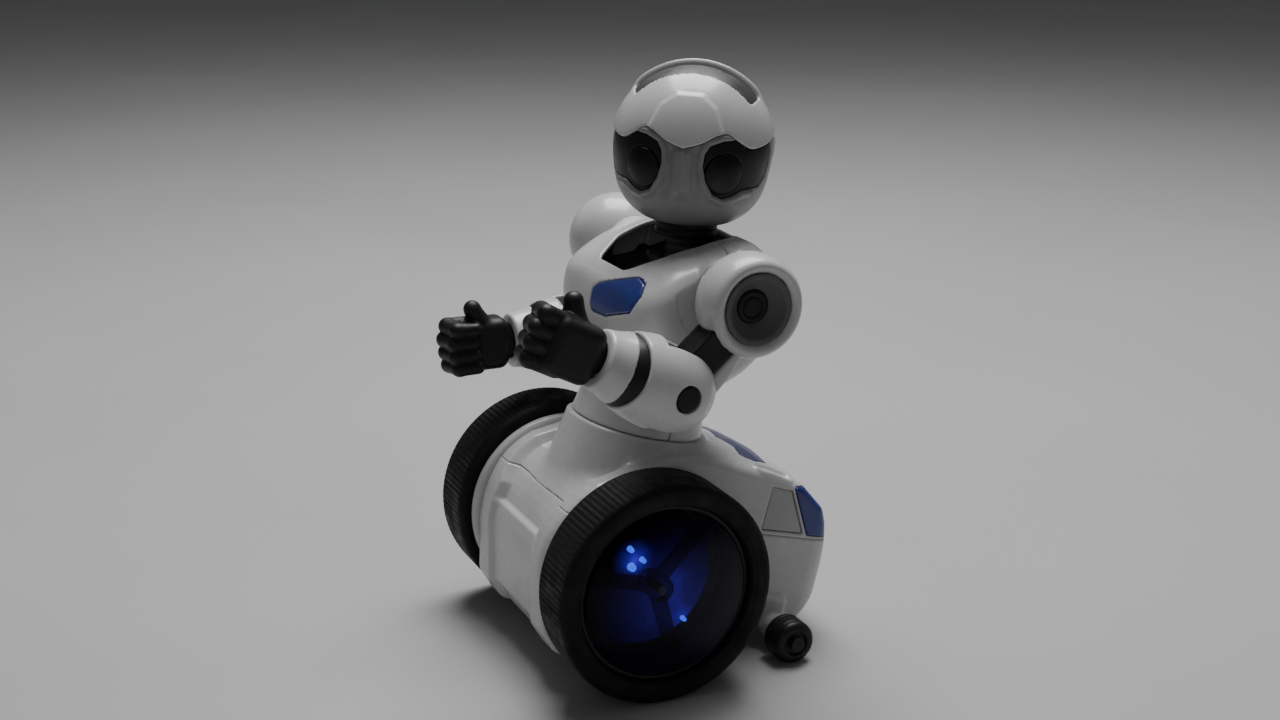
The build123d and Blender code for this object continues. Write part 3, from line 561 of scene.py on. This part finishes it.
def base_lower(x, y, z):
    """The base below the shut line, with the casters' lugs, the battery's well and the switch's slot."""
    form = meet(shell(base_skin(x, y, z), 3.0), z - SEAM + GAP, 0.25)
    side = np.abs(x)
    near_pin = length(y - CASTER.y, z - CASTER.z)
    lug = meet(near_pin - 6.2, np.abs(side - 47) - 7.4, 1.0)
    arm = meet(slab_2d(y - CASTER.y + 2, z - CASTER.z - 6, 6.5, 8, 4), np.abs(side - 42) - 5, 1.5)
    form = join(form, join(lug, arm, 2), 3)
    form = cut(form, near_pin - 2.1, 0.2)
    form = cut(form, length(y, z) - 2.3, 0.2)
    well = np.maximum(slab_2d(x, y - 71, 29.2, 17.7, 2), z + 16.5)
    slot = np.maximum(slab_2d(x, z + 2, 5.7, 2.5, 0.8), 96 - y)
    return cut(cut(form, well, 0.3), slot, 0.3)


def panel(form, zone, sunk, gap=0.35):
    """A flush inlay: the skin within a zone, a little smaller than its bed."""
    return meet(meet(form + sunk, -(form + BED - 0.05 + sunk), 0.2), zone + gap, 0.5)


def deck_panel(x, y, z):
    return panel(base_form(x, y, z), deck_zone(x, y, z), 0.0)


def tail_panel(x, y, z):
    return panel(base_form(x, y, z), tail_zone(x, y, z), 0.0)


def side_panels(x, y, z):
    return panel(base_form(x, y, z), flank_zone(x, y, z), 0.6)


def fender(x, y, z):
    """A round flange inside each drive wheel, with a stepped outer face."""
    radial = length(y, z)
    disc = slab_2d(x - (BASE_HALF + FENDER_OUT) / 2, radial, (FENDER_OUT - BASE_HALF) / 2, FENDER_R, 2.6)
    step = np.maximum(np.abs(radial - 38.5) - 1.2, FENDER_OUT - 1.4 - x)
    return cut(cut(disc, step, 0.5), radial - 2.4, 0.3)


def pair(name, field, low, high, step, material, rides, stands_for, where=None):
    """A piece drawn for the robot's left and its mirror image for the right."""
    for side, sign in (("left", 1), ("right", -1)):
        matrix = (where or body) @ Matrix.Diagonal((sign, 1, 1, 1))
        net(f"{name}_{side}", field, low, high, step, matrix, material, rides.format(side),
            [n.format(side) for n in stands_for])


net("base_upper", base_upper, (-46, -56, 20), (46, 112, 61), 0.7, body, white, "chassis",
    ["base_upper_shell"])
net("base_lower", base_lower, (-57, -56, -50), (57, 112, 24), 0.85, body, white, "chassis",
    ["base_lower_shell"])
net("deck_inlay", deck_panel, (-34, 46, 38), (34, 76, 62), 0.6, body, faded_blue, "chassis", ["deck_panel"])
net("tail_inlay", tail_panel, (-46, 70, 20), (46, 108, 50), 0.6, body, blue, "chassis", ["tail_panel"])
net("side_inlays", side_panels, (-46, 58, 20), (46, 88, 50), 0.6, body, pale_grey, "chassis", ["side_panels"])
pair("fender_flange", fender, (43, -49, -49), (51, 49, 49), 0.9, white, "chassis", ["fender_{}"])


# ---------------------------------------------------------------- torso
# The torso's level sections: height, half width, half depth, centre's y and squareness.
TORSO_Z = (56, 64, 76, 88, 98, 110, 122, 134, 146, 158)
TORSO_X = (32, 31.6, 32.5, 38.5, 45.5, 50, 51, 51, 49.5, 45)
TORSO_Y = (32, 30, 28.5, 30.5, 34, 37, 37.5, 36.5, 34, 29)
TORSO_MID = (5.7, 5.8, 6, 5.5, 5, 5, 5.5, 6.5, 9, 11)
TORSO_POWER = (2.1, 2.1, 2.2, 2.8, 4.0, 5.0, 5.2, 4.6, 3.2, 2.5)
HOLE = [(-11, -19), (11, -19), (18, -11), (21, 0), (20, 10), (14, 18), (0, 24), (-14, 18), (-20, 10),
        (-21, 0), (-18, -11)]
HOLE_R = 7
RIB_PITCH = 4
CHEST = [(1.5, 111.5), (1, 116.5), (4, 118.5), (29, 127.5), (34, 126.5), (36, 123.5), (34.5, 118.5),
         (16, 112.5)]


def torso_top(x, y):
    """Height of the shoulders: rising rearward round the neck and falling a little to each side."""
    rise = curve(y, (-30, -25, -13, 0, 12, 25, 40), (128.5, 131.5, 141, 148.5, 153.5, 154.5, 150))
    return rise + 1.5 - 0.0044 * np.maximum(np.abs(x) - 22, 0) ** 2


def torso_form(x, y, z):
    half_x, half_y, mid, power = [curve(z, TORSO_Z, v) for v in (TORSO_X, TORSO_Y, TORSO_MID, TORSO_POWER)]
    form = ellipse_dist(x, y - mid, half_x, half_y, power)
    form = meet(form, (z - torso_top(x, y)) * 0.86, 9)
    return meet(form, WAIST_Z + 0.3 - z, 1.2)


def chest_zone(x, y, z):
    return np.maximum(polygon(x, z, CHEST) - 3.5, y + 8)


def torso_skin(x, y, z):
    """The torso's wall with its neck opening, chest bed and shoulder seats."""
    form = torso_form(x, y, z)
    form = cut(form, meet(chest_zone(x, y, z), -form - BED, 0.2), 0.5)
    form = shell(form, TORSO_WALL)
    side = np.abs(x)
    seat = length(y - SHOULDER.y, z - SHOULDER.z)
    boss = meet(seat - 16, np.abs(side - 43.8) - 5.8, 1.0)
    form = join(form, boss, 1.5)
    form = cut(form, seat - 4.3, 0.3)
    hole = np.maximum(polygon(x, y, HOLE) - HOLE_R, 118 - z)
    form = cut(form, hole, 1.6)
    return cut(form, np.maximum(seat - 25, 49.8 - side), 0.5)


def screw_wells(x, y, z):
    """Holes in the torso's back down to its case screws."""
    wells = [length(np.abs(x) - a, z - b) - 2.9 for a, b in ((20, 84), (28, 112))]
    return np.maximum(np.minimum(*wells), 20 - y)


def torso_front(x, y, z):
    return meet(torso_skin(x, y, z), y - SHOULDER.y + 0.15, 0.4)


def torso_rear(x, y, z):
    return cut(meet(torso_skin(x, y, z), SHOULDER.y + 0.15 - y, 0.4), screw_wells(x, y, z), 0.4)


def chest_panel(x, y, z):
    return panel(torso_form(x, y, z), chest_zone(x, y, z), -0.15)


head_in_body = to_body @ head
to_head = np.array(head_in_body.inverted())


def neck_coords(x, y, z):
    """Body coordinates turned into the head's."""
    return [to_head[i][0] * x + to_head[i][1] * y + to_head[i][2] * z + to_head[i][3] for i in range(3)]


def collar(x, y, z):
    """A dark dished plate inside the neck opening, with a ribbed post up to the head."""
    form = torso_form(x, y, z)
    bowl = 127 + 0.42 * y + 0.004 * (x * x + y * y)
    plate = meet(meet(z - bowl, bowl - 3 - z, 0.5), form + 2.9, 0.5)
    px, py, pz = neck_coords(x, y, z)
    ribs = 0.5 * bump((pz + 60) % RIB_PITCH - RIB_PITCH / 2, 1.2)
    post = meet(length(px, py) - 9 + ribs, np.abs(pz + 46) - 14.5, 0.6)
    return join(plate, post, 2)


net("torso_front", torso_front, (-53, -35, 56), (53, 9, 160), 0.8, body, white, "chassis",
    ["torso_front_shell"])
net("torso_rear", torso_rear, (-53, 6, 56), (53, 46, 160), 0.8, body, white, "chassis",
    ["torso_rear_shell"])
net("chest_inlay", chest_panel, (-7, -36, 104), (44, -4, 136), 0.55, body, blue, "chassis",
    ["chest_panel"])
net("neck_plate", collar, (-52, -38, 104), (52, 46, 162), 0.9, body, crown_shade_and_collar_grey, "chassis", ["collar"])


# ---------------------------------------------------------------- head, facing -Y about its centre
R = HEAD_R
# An eye's outline as (distance round the head from straight ahead, height), the helmet's lower edge as
# height in head radii over the angle from straight ahead, and the raised brow as (x, z) in head radii.
EYE = [(9.8, -4), (10.2, 1.5), (12.6, 5.2), (19, 7.5), (34, 9), (52, 9), (54, 3), (51, -9), (46, -13.8),
       (33, -14.8), (27.5, -17.4), (22, -18.8), (16, -16.6), (11.8, -10.5)]
BROW_AZ = (0, 12, 24, 30, 40, 50, 62, 75, 90, 100, 112, 126, 180)
BROW_Z = (0.09, 0.16, 0.265, 0.28, 0.20, 0.117, 0.13, 0.177, 0.235, 0.12, -0.30, -0.68, -0.74)
CREST = [(-0.477, 0.27), (-0.347, 0.57), (-0.156, 0.72), (0.156, 0.72), (0.347, 0.57), (0.477, 0.27),
         (0.3, -0.1), (-0.3, -0.1)]
CHIN = 0.955  # the flat chin's distance below the centre, in head radii
THROAT_R = 15.5
LENS_AZ, LENS_UP = math.radians(31), -0.20  # where each round lens faces


def azimuth(x, y):
    """Angle from straight ahead, the same on both sides, in degrees."""
    return np.degrees(np.arctan2(np.abs(x), -y))


def eye_distance(x, y, z):
    """Distance along the face to an eye's outline."""
    return polygon(np.radians(azimuth(x, y)) * R, z, EYE)


def brow_distance(x, y, z):
    """Height above the helmet's lower edge, in mm."""
    return z - R * curve(azimuth(x, y), BROW_AZ, BROW_Z)


def head_form(x, y, z):
    """Distance outside a ball whose lower half is fuller, down to a flat chin."""
    radial = length(x, y)
    power = 2 + 0.5 * eased(-z / (0.6 * R))
    return (radial ** power + np.abs(z) ** power) ** (1 / power) - R


def chinned(form, z):
    """A form ended below by the flat chin."""
    return meet(form, -z - CHIN * R, 4)


def channel(x, y, z):
    """The sunken band over the crown: distance to its rounded outline."""
    return slab_2d(np.arctan2(x, z) * R, y + 8.9, 0.86 * R, 6.9, 2.5)


def throat(x, y, z):
    """The opening in the chin for the neck."""
    return np.maximum(length(x, y) - THROAT_R, z + 20)


def helmet(x, y, z):
    """The helmet: a raised brow, a stepped ridge over the crown and a wavy lower edge."""
    round_form = head_form(x, y, z)
    crest = np.clip(-polygon(x / R, z / R, CREST) * R / 1.8, 0, 1) * (y < 0)
    round_form -= 0.75 * eased(crest)
    ridge = np.clip(1 - (y + 1.5) / 15, 0, 1) * np.clip((y + 2.4) / 1.4, 0, 1)
    span = eased((1.0 - np.abs(np.arctan2(x, z))) / 0.3)
    round_form -= 1.9 * ridge * span
    form = chinned(round_form, z)
    form = cut(form, np.maximum(channel(x, y, z), -(round_form + 2.2)), 0.5)
    form = meet(form, -(head_form(x, y, z) + HEAD_WALL), 0.3)
    form = meet(form, -brow_distance(x, y, z) * 0.9, 1.0)
    return cut(form, throat(x, y, z), 0.8)


# The dark strip on the channel's floor is painted shade for the shadow in the white helmet's groove.
def band(x, y, z):
    skin = np.abs(length(x, y, z) - R + 1.5) - 0.7
    return meet(skin, channel(x, y, z) + 0.1, 0.3)


def face(x, y, z):
    """The face: smooth cheeks, raised rims round the eyes and a faceted bridge between them."""
    round_form = head_form(x, y, z) + 1.3
    eye = eye_distance(x, y, z)
    side = np.abs(x)
    front = y < 0
    round_form -= 1.3 * bump(eye - 1.8, 2.4) * front * (azimuth(x, y) < 60)
    long = np.clip((z + 0.55 * R) / 5, 0, 1) * np.clip((0.12 * R - z) / 3, 0, 1)
    bridge = 2.6 * np.clip(1 - side / 5.2, 0, 1) - 1.0 * bump(side - 6.6, 3.4)
    round_form -= bridge * long * front
    form = chinned(round_form, z)
    form = meet(form, -(head_form(x, y, z) + 1.3 + HEAD_WALL), 0.3)
    form = meet(form, brow_distance(x, y, z) * 0.9 + 0.2, 0.4)
    form = cut(form, np.maximum(eye + 0.1, np.where(front, -100, 100)), 0.5)
    return cut(form, throat(x, y, z), 0.8)


def eye_wings(x, y, z):
    """Smoked wings that wrap round from the lenses under the helmet's edge."""
    skin = np.abs(head_form(x, y, z) + 2.4) - 0.8
    form = meet(skin, eye_distance(x, y, z) + 0.25, 0.5)
    form = meet(form, np.maximum(brow_distance(x, y, z) + 0.3, y - 12), 0.3)
    return cut(form, lens_spot(x, y, z) - 9.15, 0.15)


def lens_spot(x, y, z):
    """Distance from the axis of the round lens in each eye."""
    level = math.sqrt(1 - LENS_UP * LENS_UP)
    axis = (level * math.sin(LENS_AZ), -level * math.cos(LENS_AZ), LENS_UP)
    side = np.abs(x)
    along = side * axis[0] + y * axis[1] + z * axis[2]
    beside = length(side - along * axis[0], y - along * axis[1], z - along * axis[2])
    return np.where(along > 0, beside, 99)


def eye_lenses(x, y, z):
    """A slightly domed round lens in each eye."""
    spot = lens_spot(x, y, z)
    skin = np.abs(head_form(x, y, z) + 1.9 - 1.0 * np.clip(1 - (spot / 9) ** 2, 0, 1)) - 1.0
    form = meet(skin, spot - 9.05, 0.5)
    return meet(form, np.maximum(eye_distance(x, y, z) + 0.2, brow_distance(x, y, z) + 0.25), 0.3)


def neck_ring(x, y, z):
    tube = slab_2d(length(x, y) - 12, z + 35.5, 2.6, 5.9, 0.8)
    return tube + 0.5 * bump((z + 60) % RIB_PITCH - RIB_PITCH / 2, 1.0)


HEAD_LOW, HEAD_HIGH = (-R - 3, -R - 3, -R), (R + 3, R + 3, R + 3)
net("helmet", helmet, HEAD_LOW, HEAD_HIGH, 0.75, head, white, "head", ["helmet_front", "helmet_rear"])
net("crown_band_painted_shade", band, (-R, -17, 15), (R, 1, R + 2), 0.6, head, crown_shade_and_collar_grey, "head", ["helmet_band"])
# The face mask's grey is painted shade on white plastic.
net("face_mask", face, HEAD_LOW, (R + 3, 28, 14), 0.7, head, face_painted_shade, "head", ["face"])
net("eye_wings", eye_wings, (-R, -R, -22), (R, 14, 12), 0.55, head, eye_wing, "head", ["eye_lenses"])
net("eye_round_lenses", eye_lenses, (-32, -R - 1, -20), (32, -20, 6), 0.5, head, eye_core, "head")
net("neck_bellows", neck_ring, (-16, -16, -44), (16, 16, -28), 0.7, head, black, "head", ["neck_ring"])


# ---------------------------------------------------------------- arms
BALL_R, BALL_IN, BALL_OUT = 23.5, -20.5, 11.3
HUB_R = 8.2  # the bore round the shoulder's hub
LINK_HALF, ELBOW_R = 7.4, 10.4
PIN_R = 2.6


def upper_slot(x, y, z, room):
    """The link's straight part and its rounded elbow end, with some room round them."""
    bar = slab_2d(y, z + 24, 7.5 + room, 20, 1)
    end = length(y, z + ARM) - ELBOW_R - room
    return meet(np.minimum(bar, end), np.abs(x) - LINK_HALF - room, 0.8)


def ball_mouth(x, y, z):
    """Distance outside the open cone that runs in from the ball's outer face."""
    reach = np.clip((x - 1.5) / (BALL_OUT - 1.5), 0, 1.2)
    return (length(y, z) - HUB_R - 10.3 * reach ** 0.8) * 0.8


def shoulder_ball(x, y, z):
    """A ball cut flat on both sides, with a mouth outside, a bore and a slot for the link."""
    form = length(x, y, z) - BALL_R
    form = meet(form, x - BALL_OUT, 3.0)
    form = meet(form, BALL_IN - x, 1.0)
    radial = length(y, z)
    form = cut(form, np.maximum(ball_mouth(x, y, z), 1.0 - x), 1.6)
    form = cut(form, np.maximum(radial - HUB_R, -7 - x), 0.3)
    return cut(form, np.maximum(upper_slot(x, y, z, 0.2), z + 15), 0.5)


def mouth_shade_liner(x, y, z):
    """A cone that lines the ball's mouth, dark grey as painted shade inside the white ball."""
    mouth = ball_mouth(x, y, z)
    return meet(meet(mouth + 0.35, -mouth - 2.6, 0.2), np.abs(x - 5.6) - 4.0, 0.3)


def shoulder_hub(x, y, z):
    """A grooved cap in the ball's mouth, on the shaft that runs into the torso."""
    radial = length(y, z)
    cap = meet(radial - 7.7, np.abs(x + 1.2) - 5.6, 1.6)
    cap = cut(cap, np.maximum(np.abs(radial - 4.6) - 0.5, 3.7 - x), 0.3)
    shaft = np.maximum(radial - 4, np.abs(x + 20) - 14.5)
    return np.minimum(cap, shaft)


def arm_link(x, y, z):
    """The dark link from the shoulder ball down to the elbow, sunk a little front and back."""
    form = np.maximum(upper_slot(x, y, z, 0), z + 15.6)
    ribs = np.maximum(slab_2d(x, z + 30, 4.6, 8, 1.2), 6.7 - np.abs(y))
    form = cut(form, ribs, 0.5)
    return cut(form, length(y, z + ARM) - PIN_R, 0.2)


def arm_cover(x, y, z):
    """A white shell behind the link, curving round towards the elbow."""
    outline = polygon(y, z, [(8.6, -20), (11.6, -20.6), (13.6, -27), (14.4, -35), (14.6, -43), (13.8, -50),
                             (11.2, -55), (9.4, -56.5), (8.7, -54)]) - 1.0
    form = meet(outline, np.abs(x) - 7.3, 2.4)
    return cut(form, length(y, z + ARM) - ELBOW_R - 0.5, 0.4)


def forearm_radius(s):
    """Radius of the forearm at a distance s towards the wrist."""
    return curve(s, (-22, -20.5, -18.5, -13, -6, 3, 12, 20, 24.5, 29, 34, 40),
                 (0.5, 2, 8, 15.2, 19, 20.3, 20.0, 18.6, 17.4, 15.6, 14.2, 13.4))


def band_edges(x, y, z):
    """Distance outside the dark crescent that rings the forearm, widest on its outer and inner sides."""
    radial = np.maximum(length(x, z), 1)
    wide = np.abs(x) / radial
    middle = 25.4 - 1.0 * wide ** 2
    return np.abs(-y - middle) - (1.5 + 1.7 * wide ** 2)


def forearm(x, y, z):
    """The forearm's shell: a slot between two cheeks at the elbow, a ring's bed and the wrist's bore."""
    radial = length(x, z)
    form = (radial - forearm_radius(-y)) * 0.85
    form = meet(form, -y - WRIST + 1.2, 1.6)
    form = cut(form, np.maximum(band_edges(x, y, z), 13.4 - radial), 0.5)
    room = np.minimum(np.minimum(-2 - z, -4.5 - y), length(y, z) - ELBOW_R - 0.8)
    slot = np.maximum(np.maximum(np.abs(x) - LINK_HALF - 0.6, -y - 13), room)
    form = cut(form, slot, 1.8)
    form = cut(form, np.maximum(radial - 8.4, y + 33), 0.8)
    form = cut(form, np.maximum(radial - 5.1, y + 27), 0.2)
    pin = np.minimum(length(y, z) - 2.55, np.maximum(length(y, z) - 6.2, 14.4 - x))
    return cut(form, pin, 0.3)


def forearm_band(x, y, z):
    radial = length(x, z)
    skin = np.maximum(radial - forearm_radius(-y) + 0.9, 13.5 - radial)
    return meet(skin, band_edges(x, y, z) + 0.15, 0.3)


FINGER = 6.6


def hand(x, y, z):
    """A closed fist: a flat palm, four stacked fingers folded inward and a raised thumb."""
    form = capsule(x, y, z, (0, -30, 0), (0, -44, 0), 4.9)
    cuff = meet(length(x, z) - 8.0, np.abs(y + 40.5) - 2.2, 0.8)
    form = np.minimum(form, cuff)
    px, py, pz = np.abs(x - 1.2) - 3.2, np.abs(y + 53) - 7.5, np.abs(z) - 7.6
    palm = length(np.maximum(px, 0), np.maximum(py, 0), np.maximum(pz, 0)) - 5.4
    form = join(form, palm, 2.5)
    for row in range(4):
        up = (1.5 - row) * FINGER
        tip = -WRIST - 31.5 + 1.3 * abs(row - 1.2)
        first = capsule(x, y, z, (3.2, -56, up), (3.4, tip, up), 4.1, 4.0)
        second = capsule(x, y, z, (3.4, tip, up), (-6.6, tip + 1.8, up * 0.98), 4.0, 3.8)
        third = capsule(x, y, z, (-6.6, tip + 1.8, up * 0.98), (-7.4, tip + 11, up * 0.96), 3.8, 3.6)
        finger = join(join(first, second, 1.2), third, 1.2)
        form = join(form, finger, 0.7)
    base_joint = capsule(x, y, z, (0.5, -50, 7), (-1.0, -56, 13.5), 5.2, 4.9)
    thumb_tip = capsule(x, y, z, (-1.0, -56, 13.5), (-1.6, -58.5, 18.6), 4.8, 4.4)
    return join(form, join(base_joint, thumb_tip, 1.0), 1.6)


for side, sign in (("left", 1), ("right", -1)):
    upper, lower = arm_frames(side, sign)
    arm, fore = "upper_arm_" + side, "forearm_" + side
    net("ball_" + side, shoulder_ball, (-22, -25, -25), (13, 25, 25), 0.75, upper, white, arm,
        ["shoulder_ball_" + side])
    net("ball_mouth_" + side, mouth_shade_liner, (0, -22, -22), (12, 22, 22), 0.6, upper, mouth_painted_shade, arm)
    net("hub_" + side, shoulder_hub, (-36, -9, -9), (5, 9, 9), 0.6, upper, black, arm,
        ["shoulder_hub_" + side])
    net("link_" + side, arm_link, (-9, -12, -63), (9, 12, -14), 0.7, upper, black, arm,
        ["upper_arm_core_" + side])
    net("link_cover_" + side, arm_cover, (-9, 5, -60), (9, 18, -16), 0.6, upper, white, arm,
        ["upper_arm_cover_" + side])
    net("forearm_" + side, forearm, (-23, -41, -23), (23, 24, 23), 0.75, lower, white, fore,
        ["forearm_shell_" + side])
    net("forearm_ring_" + side, forearm_band, (-20, -32, -20), (20, -18, 20), 0.6, lower, black, fore,
        ["forearm_band_" + side])
    net("fist_" + side, hand, (-14, -79, -19), (12, -26, 29), 0.65, lower, black, "hand_" + side,
        ["hand_" + side])


# ---------------------------------------------------------------- wheels and casters
WHEEL_MID, WHEEL_HALF = (TYRE_IN + TYRE_OUT) / 2, (TYRE_OUT - TYRE_IN) / 2
GROOVES = 120
WEB_X = 63.5  # where the spokes' web lies


def tyre(x, y, z):
    """A rubber tyre with fine cross grooves, and a bead line on each wall."""
    radial = length(y, z)
    across = x - WHEEL_MID
    form = slab_2d(across, radial - (WHEEL_R + RIM_R) / 2, WHEEL_HALF, (WHEEL_R - RIM_R) / 2, 3.8)
    turn = np.arctan2(z, y) * GROOVES / (2 * np.pi)
    groove = bump(((turn + 0.5) % 1 - 0.5) * WHEEL_R * 2 * np.pi / GROOVES, 0.7)
    outer = np.clip((radial - WHEEL_R + 2.2) / 1.2, 0, 1)
    form += 0.45 * groove * outer * np.clip((12.5 - np.abs(across)) / 1.5, 0, 1)
    return form + 0.45 * bump(radial - RIM_R - 2.6, 0.8)


def rim_hoop(x, y, z):
    return slab_2d(x - WHEEL_MID + 1.5, length(y, z) - RIM_R + 1.2, WHEEL_HALF - 3.1, 1.15, 0.6)


def rim_spokes(x, y, z):
    """Three arms from the axle's boss out to the hoop."""
    radial = length(y, z)
    spokes = []
    for k in range(3):
        a = math.radians(60 + 120 * k)
        along, beside = y * math.cos(a) + z * math.sin(a), y * math.sin(a) - z * math.cos(a)
        spokes.append(np.maximum(np.abs(beside) - 3.5, -along))
    arms = np.minimum(np.minimum(spokes[0], spokes[1]), spokes[2])
    web = meet(meet(arms, np.abs(x - WEB_X) - 1.4, 0.6), radial - RIM_R + 2.4, 0.3)
    boss = meet(radial - 6, np.abs(x - WHEEL_MID) - 7, 0.8)
    return cut(join(web, boss, 2), radial - AXLE_BORE, 0.2)


DOME_RISE = 6.5
DOME_BALL = (DOME_R ** 2 + DOME_RISE ** 2) / (2 * DOME_RISE)  # radius of the dome's outer surface


def hub_dome(x, y, z):
    """A clear dome over the wheel, part of a ball's skin with a lip round it."""
    skin = length(x - DOME_TOP + DOME_BALL, y, z) - DOME_BALL
    form = meet(skin, -(skin + 1.6), 0.3)
    lip = slab_2d(x - 75.6, length(y, z) - DOME_R + 1.0, 1.2, 0.9, 0.4)
    form = meet(form, length(y, z) - DOME_R + 0.2, 0.5)
    return join(form, lip, 0.6)


def caster(x, y, z):
    """A small black wheel about its own axle, with a flat tread between rounded shoulders."""
    radial = length(y, z)
    middle, half = (CASTER_IN + CASTER_OUT) / 2, (CASTER_OUT - CASTER_IN) / 2
    form = slab_2d(x - middle, radial, half, CASTER_R, 3.4)
    form += 0.4 * bump(np.abs(x - middle) - 3.2, 0.6) * (radial > 8)
    hollow = np.maximum(radial - 5.6, np.abs(np.abs(x - middle) - half) - 1.4)
    return cut(cut(form, hollow, 0.6), radial - AXLE_BORE, 0.2)


REACH = 54  # past the tyre's tread
pair("tyre_rubber", tyre, (TYRE_IN - 1, -REACH, -REACH), (TYRE_OUT + 1, REACH, REACH), 0.8, rubber,
     "wheel_{}", ["tyre_{}"])
pair("wheel_hoop", rim_hoop, (TYRE_IN, -42, -42), (TYRE_OUT, 42, 42), 0.7, hoop_grey, "wheel_{}", ["rim_{}"])
pair("wheel_spokes", rim_spokes, (TYRE_IN, -42, -42), (TYRE_OUT, 42, 42), 0.7, smoke, "wheel_{}", [])
pair("wheel_dome", hub_dome, (72, -40, -40), (DOME_TOP + 1, 40, 40), 0.7, smoke, "wheel_{}", ["hub_dome_{}"])
at_caster = body @ Matrix.Translation(Vector((0, CASTER.y, CASTER.z)))
pair("caster_wheel", caster, (CASTER_IN - 1, -11.5, -11.5), (CASTER_OUT + 1, 11.5, 11.5), 0.5, black,
     "caster_{}", ["caster_{}"], at_caster)


# ---------------------------------------------------------------- lights
# Each lamp on a wheel's board is (y, z, radius).
LAMPS = [(-10, 11.5, 1.5), (-2.5, 7, 1.4), (-7, 3, 2.1), (26, -19.5, 1.2)]


def light_board(x, y, z):
    """A round board behind each dome, with raised parts on it."""
    radial = length(y, z)
    disc = slab_2d(x - 50.8, radial, 0.8, BOARD_R, 0.3)
    parts = [np.maximum(slab_2d(y - a, z - b, 3.0, 2.2, 0.4), np.abs(x - 52) - 1.2)
             for a, b in ((16, 10), (20, 2), (-16, -12), (4, -22), (-20, 4))]
    form = disc
    for part in parts:
        form = np.minimum(form, part)
    return cut(form, radial - 2.4, 0.3)


def lamps(x, y, z):
    """Small round-topped lamps on the board."""
    form = np.full(np.shape(x), 99.0)
    for a, b, r in LAMPS:
        form = np.minimum(form, capsule(x, y, z, (51.2, a, b), (55.4 - r, a, b), r, r * 0.85))
    return form


for side, sign in (("left", 1), ("right", -1)):
    matrix = body @ Matrix.Diagonal((sign, 1, 1, 1))
    stands = (["light_boards"], ["wheel_lights"]) if sign > 0 else ((), ())
    net("light_board_" + side, light_board, (49, -36, -36), (55, 36, 36), 0.6, matrix, lit_board, "chassis",
        stands[0])
    lit = net("lamps_" + side, lamps, (48, -16, -24), (58, 30, 16), 0.35, matrix, lamp, "chassis", stands[1])
    lit.visible_diffuse = lit.visible_glossy = False


# ---------------------------------------------------------------- CAD nodes shown as they are
def dress(material, *names):
    """Gives CAD nodes a material."""
    for name in names:
        piece = frame["nodes"][name]
        piece.data.materials.clear()
        piece.data.materials.append(material)


both = ("left", "right")
dress(steel, "case_screws", *("drive_axle_" + s for s in both))
dress(nylon, *("idler_gear_" + s for s in both), *("motor_pinion_" + s for s in both))
dress(black, "caster_pins", "power_switch", "battery_box", *("elbow_pin_" + s for s in both))
dress(dark, "speaker")
dress(grey, "gearbox_housings", "battery_cover")
dress(steel, "motors")
dress(wrap, "battery_cells")
dress(board_green, "control_board")


# ---------------------------------------------------------------- floor, light and camera
def sweep_material():
    """A pale matt floor with a faint mottle."""
    material = bpy.data.materials.new("floor_card")
    material.use_nodes = True
    tree = material.node_tree
    tree.nodes.clear()
    where = node(tree, "ShaderNodeTexCoord").outputs["Object"]
    mottle = ranged(tree, noise(tree, where, 3.0), 0.3, 0.7, 0.0, 1.0)
    colour = blended(tree, mottle, (0.40, 0.40, 0.40), (0.43, 0.43, 0.43))
    fine = noise(tree, where, 900.0)
    relief = node(tree, "ShaderNodeBump", {"Height": fine, "Strength": 0.04, "Distance": 0.001})
    shader = node(tree, "ShaderNodeBsdfPrincipled",
                  {"Base Color": colour, "Roughness": 0.6, "Normal": relief.outputs["Normal"]})
    node(tree, "ShaderNodeOutputMaterial", {"Surface": shader.outputs[0]})
    return material


def floor():
    mesh = bpy.data.meshes.new("floor")
    far = 6.0
    mesh.from_pydata([(-far, -far, 0), (far, -far, 0), (far, far, 0), (-far, far, 0)], [], [(0, 1, 2, 3)])
    made = bpy.data.objects.new("floor", mesh)
    bpy.context.scene.collection.objects.link(made)
    made.data.materials.append(sweep_material())


def soft_light(name, at, towards, size_m, power):
    light = bpy.data.lights.new(name, "AREA")
    light.size, light.energy = size_m, power
    made = bpy.data.objects.new(name, light)
    bpy.context.scene.collection.objects.link(made)
    made.location = at
    made.rotation_mode = "QUATERNION"
    made.rotation_quaternion = (Vector(towards) - Vector(at)).to_track_quat("-Z", "Y")


floor()
low, high = cad_box
middle = (low + high) / 2
soft_light("key", (-0.45, 0.28, 1.5), middle, 1.0, 34)
soft_light("fill", (1.4, -1.0, 0.9), middle, 1.4, 1)

world = bpy.data.worlds.new("studio")
bpy.context.scene.world = world
world.use_nodes = True
world.node_tree.nodes["Background"].inputs["Color"].default_value = (0.62, 0.63, 0.64, 1)
world.node_tree.nodes["Background"].inputs["Strength"].default_value = 0.15

camera = bpy.data.objects.new("camera", bpy.data.cameras.new("camera"))
bpy.context.scene.collection.objects.link(camera)
camera.location = (0.7295, -0.3358, 0.380)
camera.rotation_mode = "QUATERNION"
camera.rotation_quaternion = (Vector((0, 0.004, 0.137)) - camera.location).to_track_quat("-Z", "Y")
camera.data.lens = 50
camera.data.clip_start = 0.01
bpy.context.scene.camera = camera
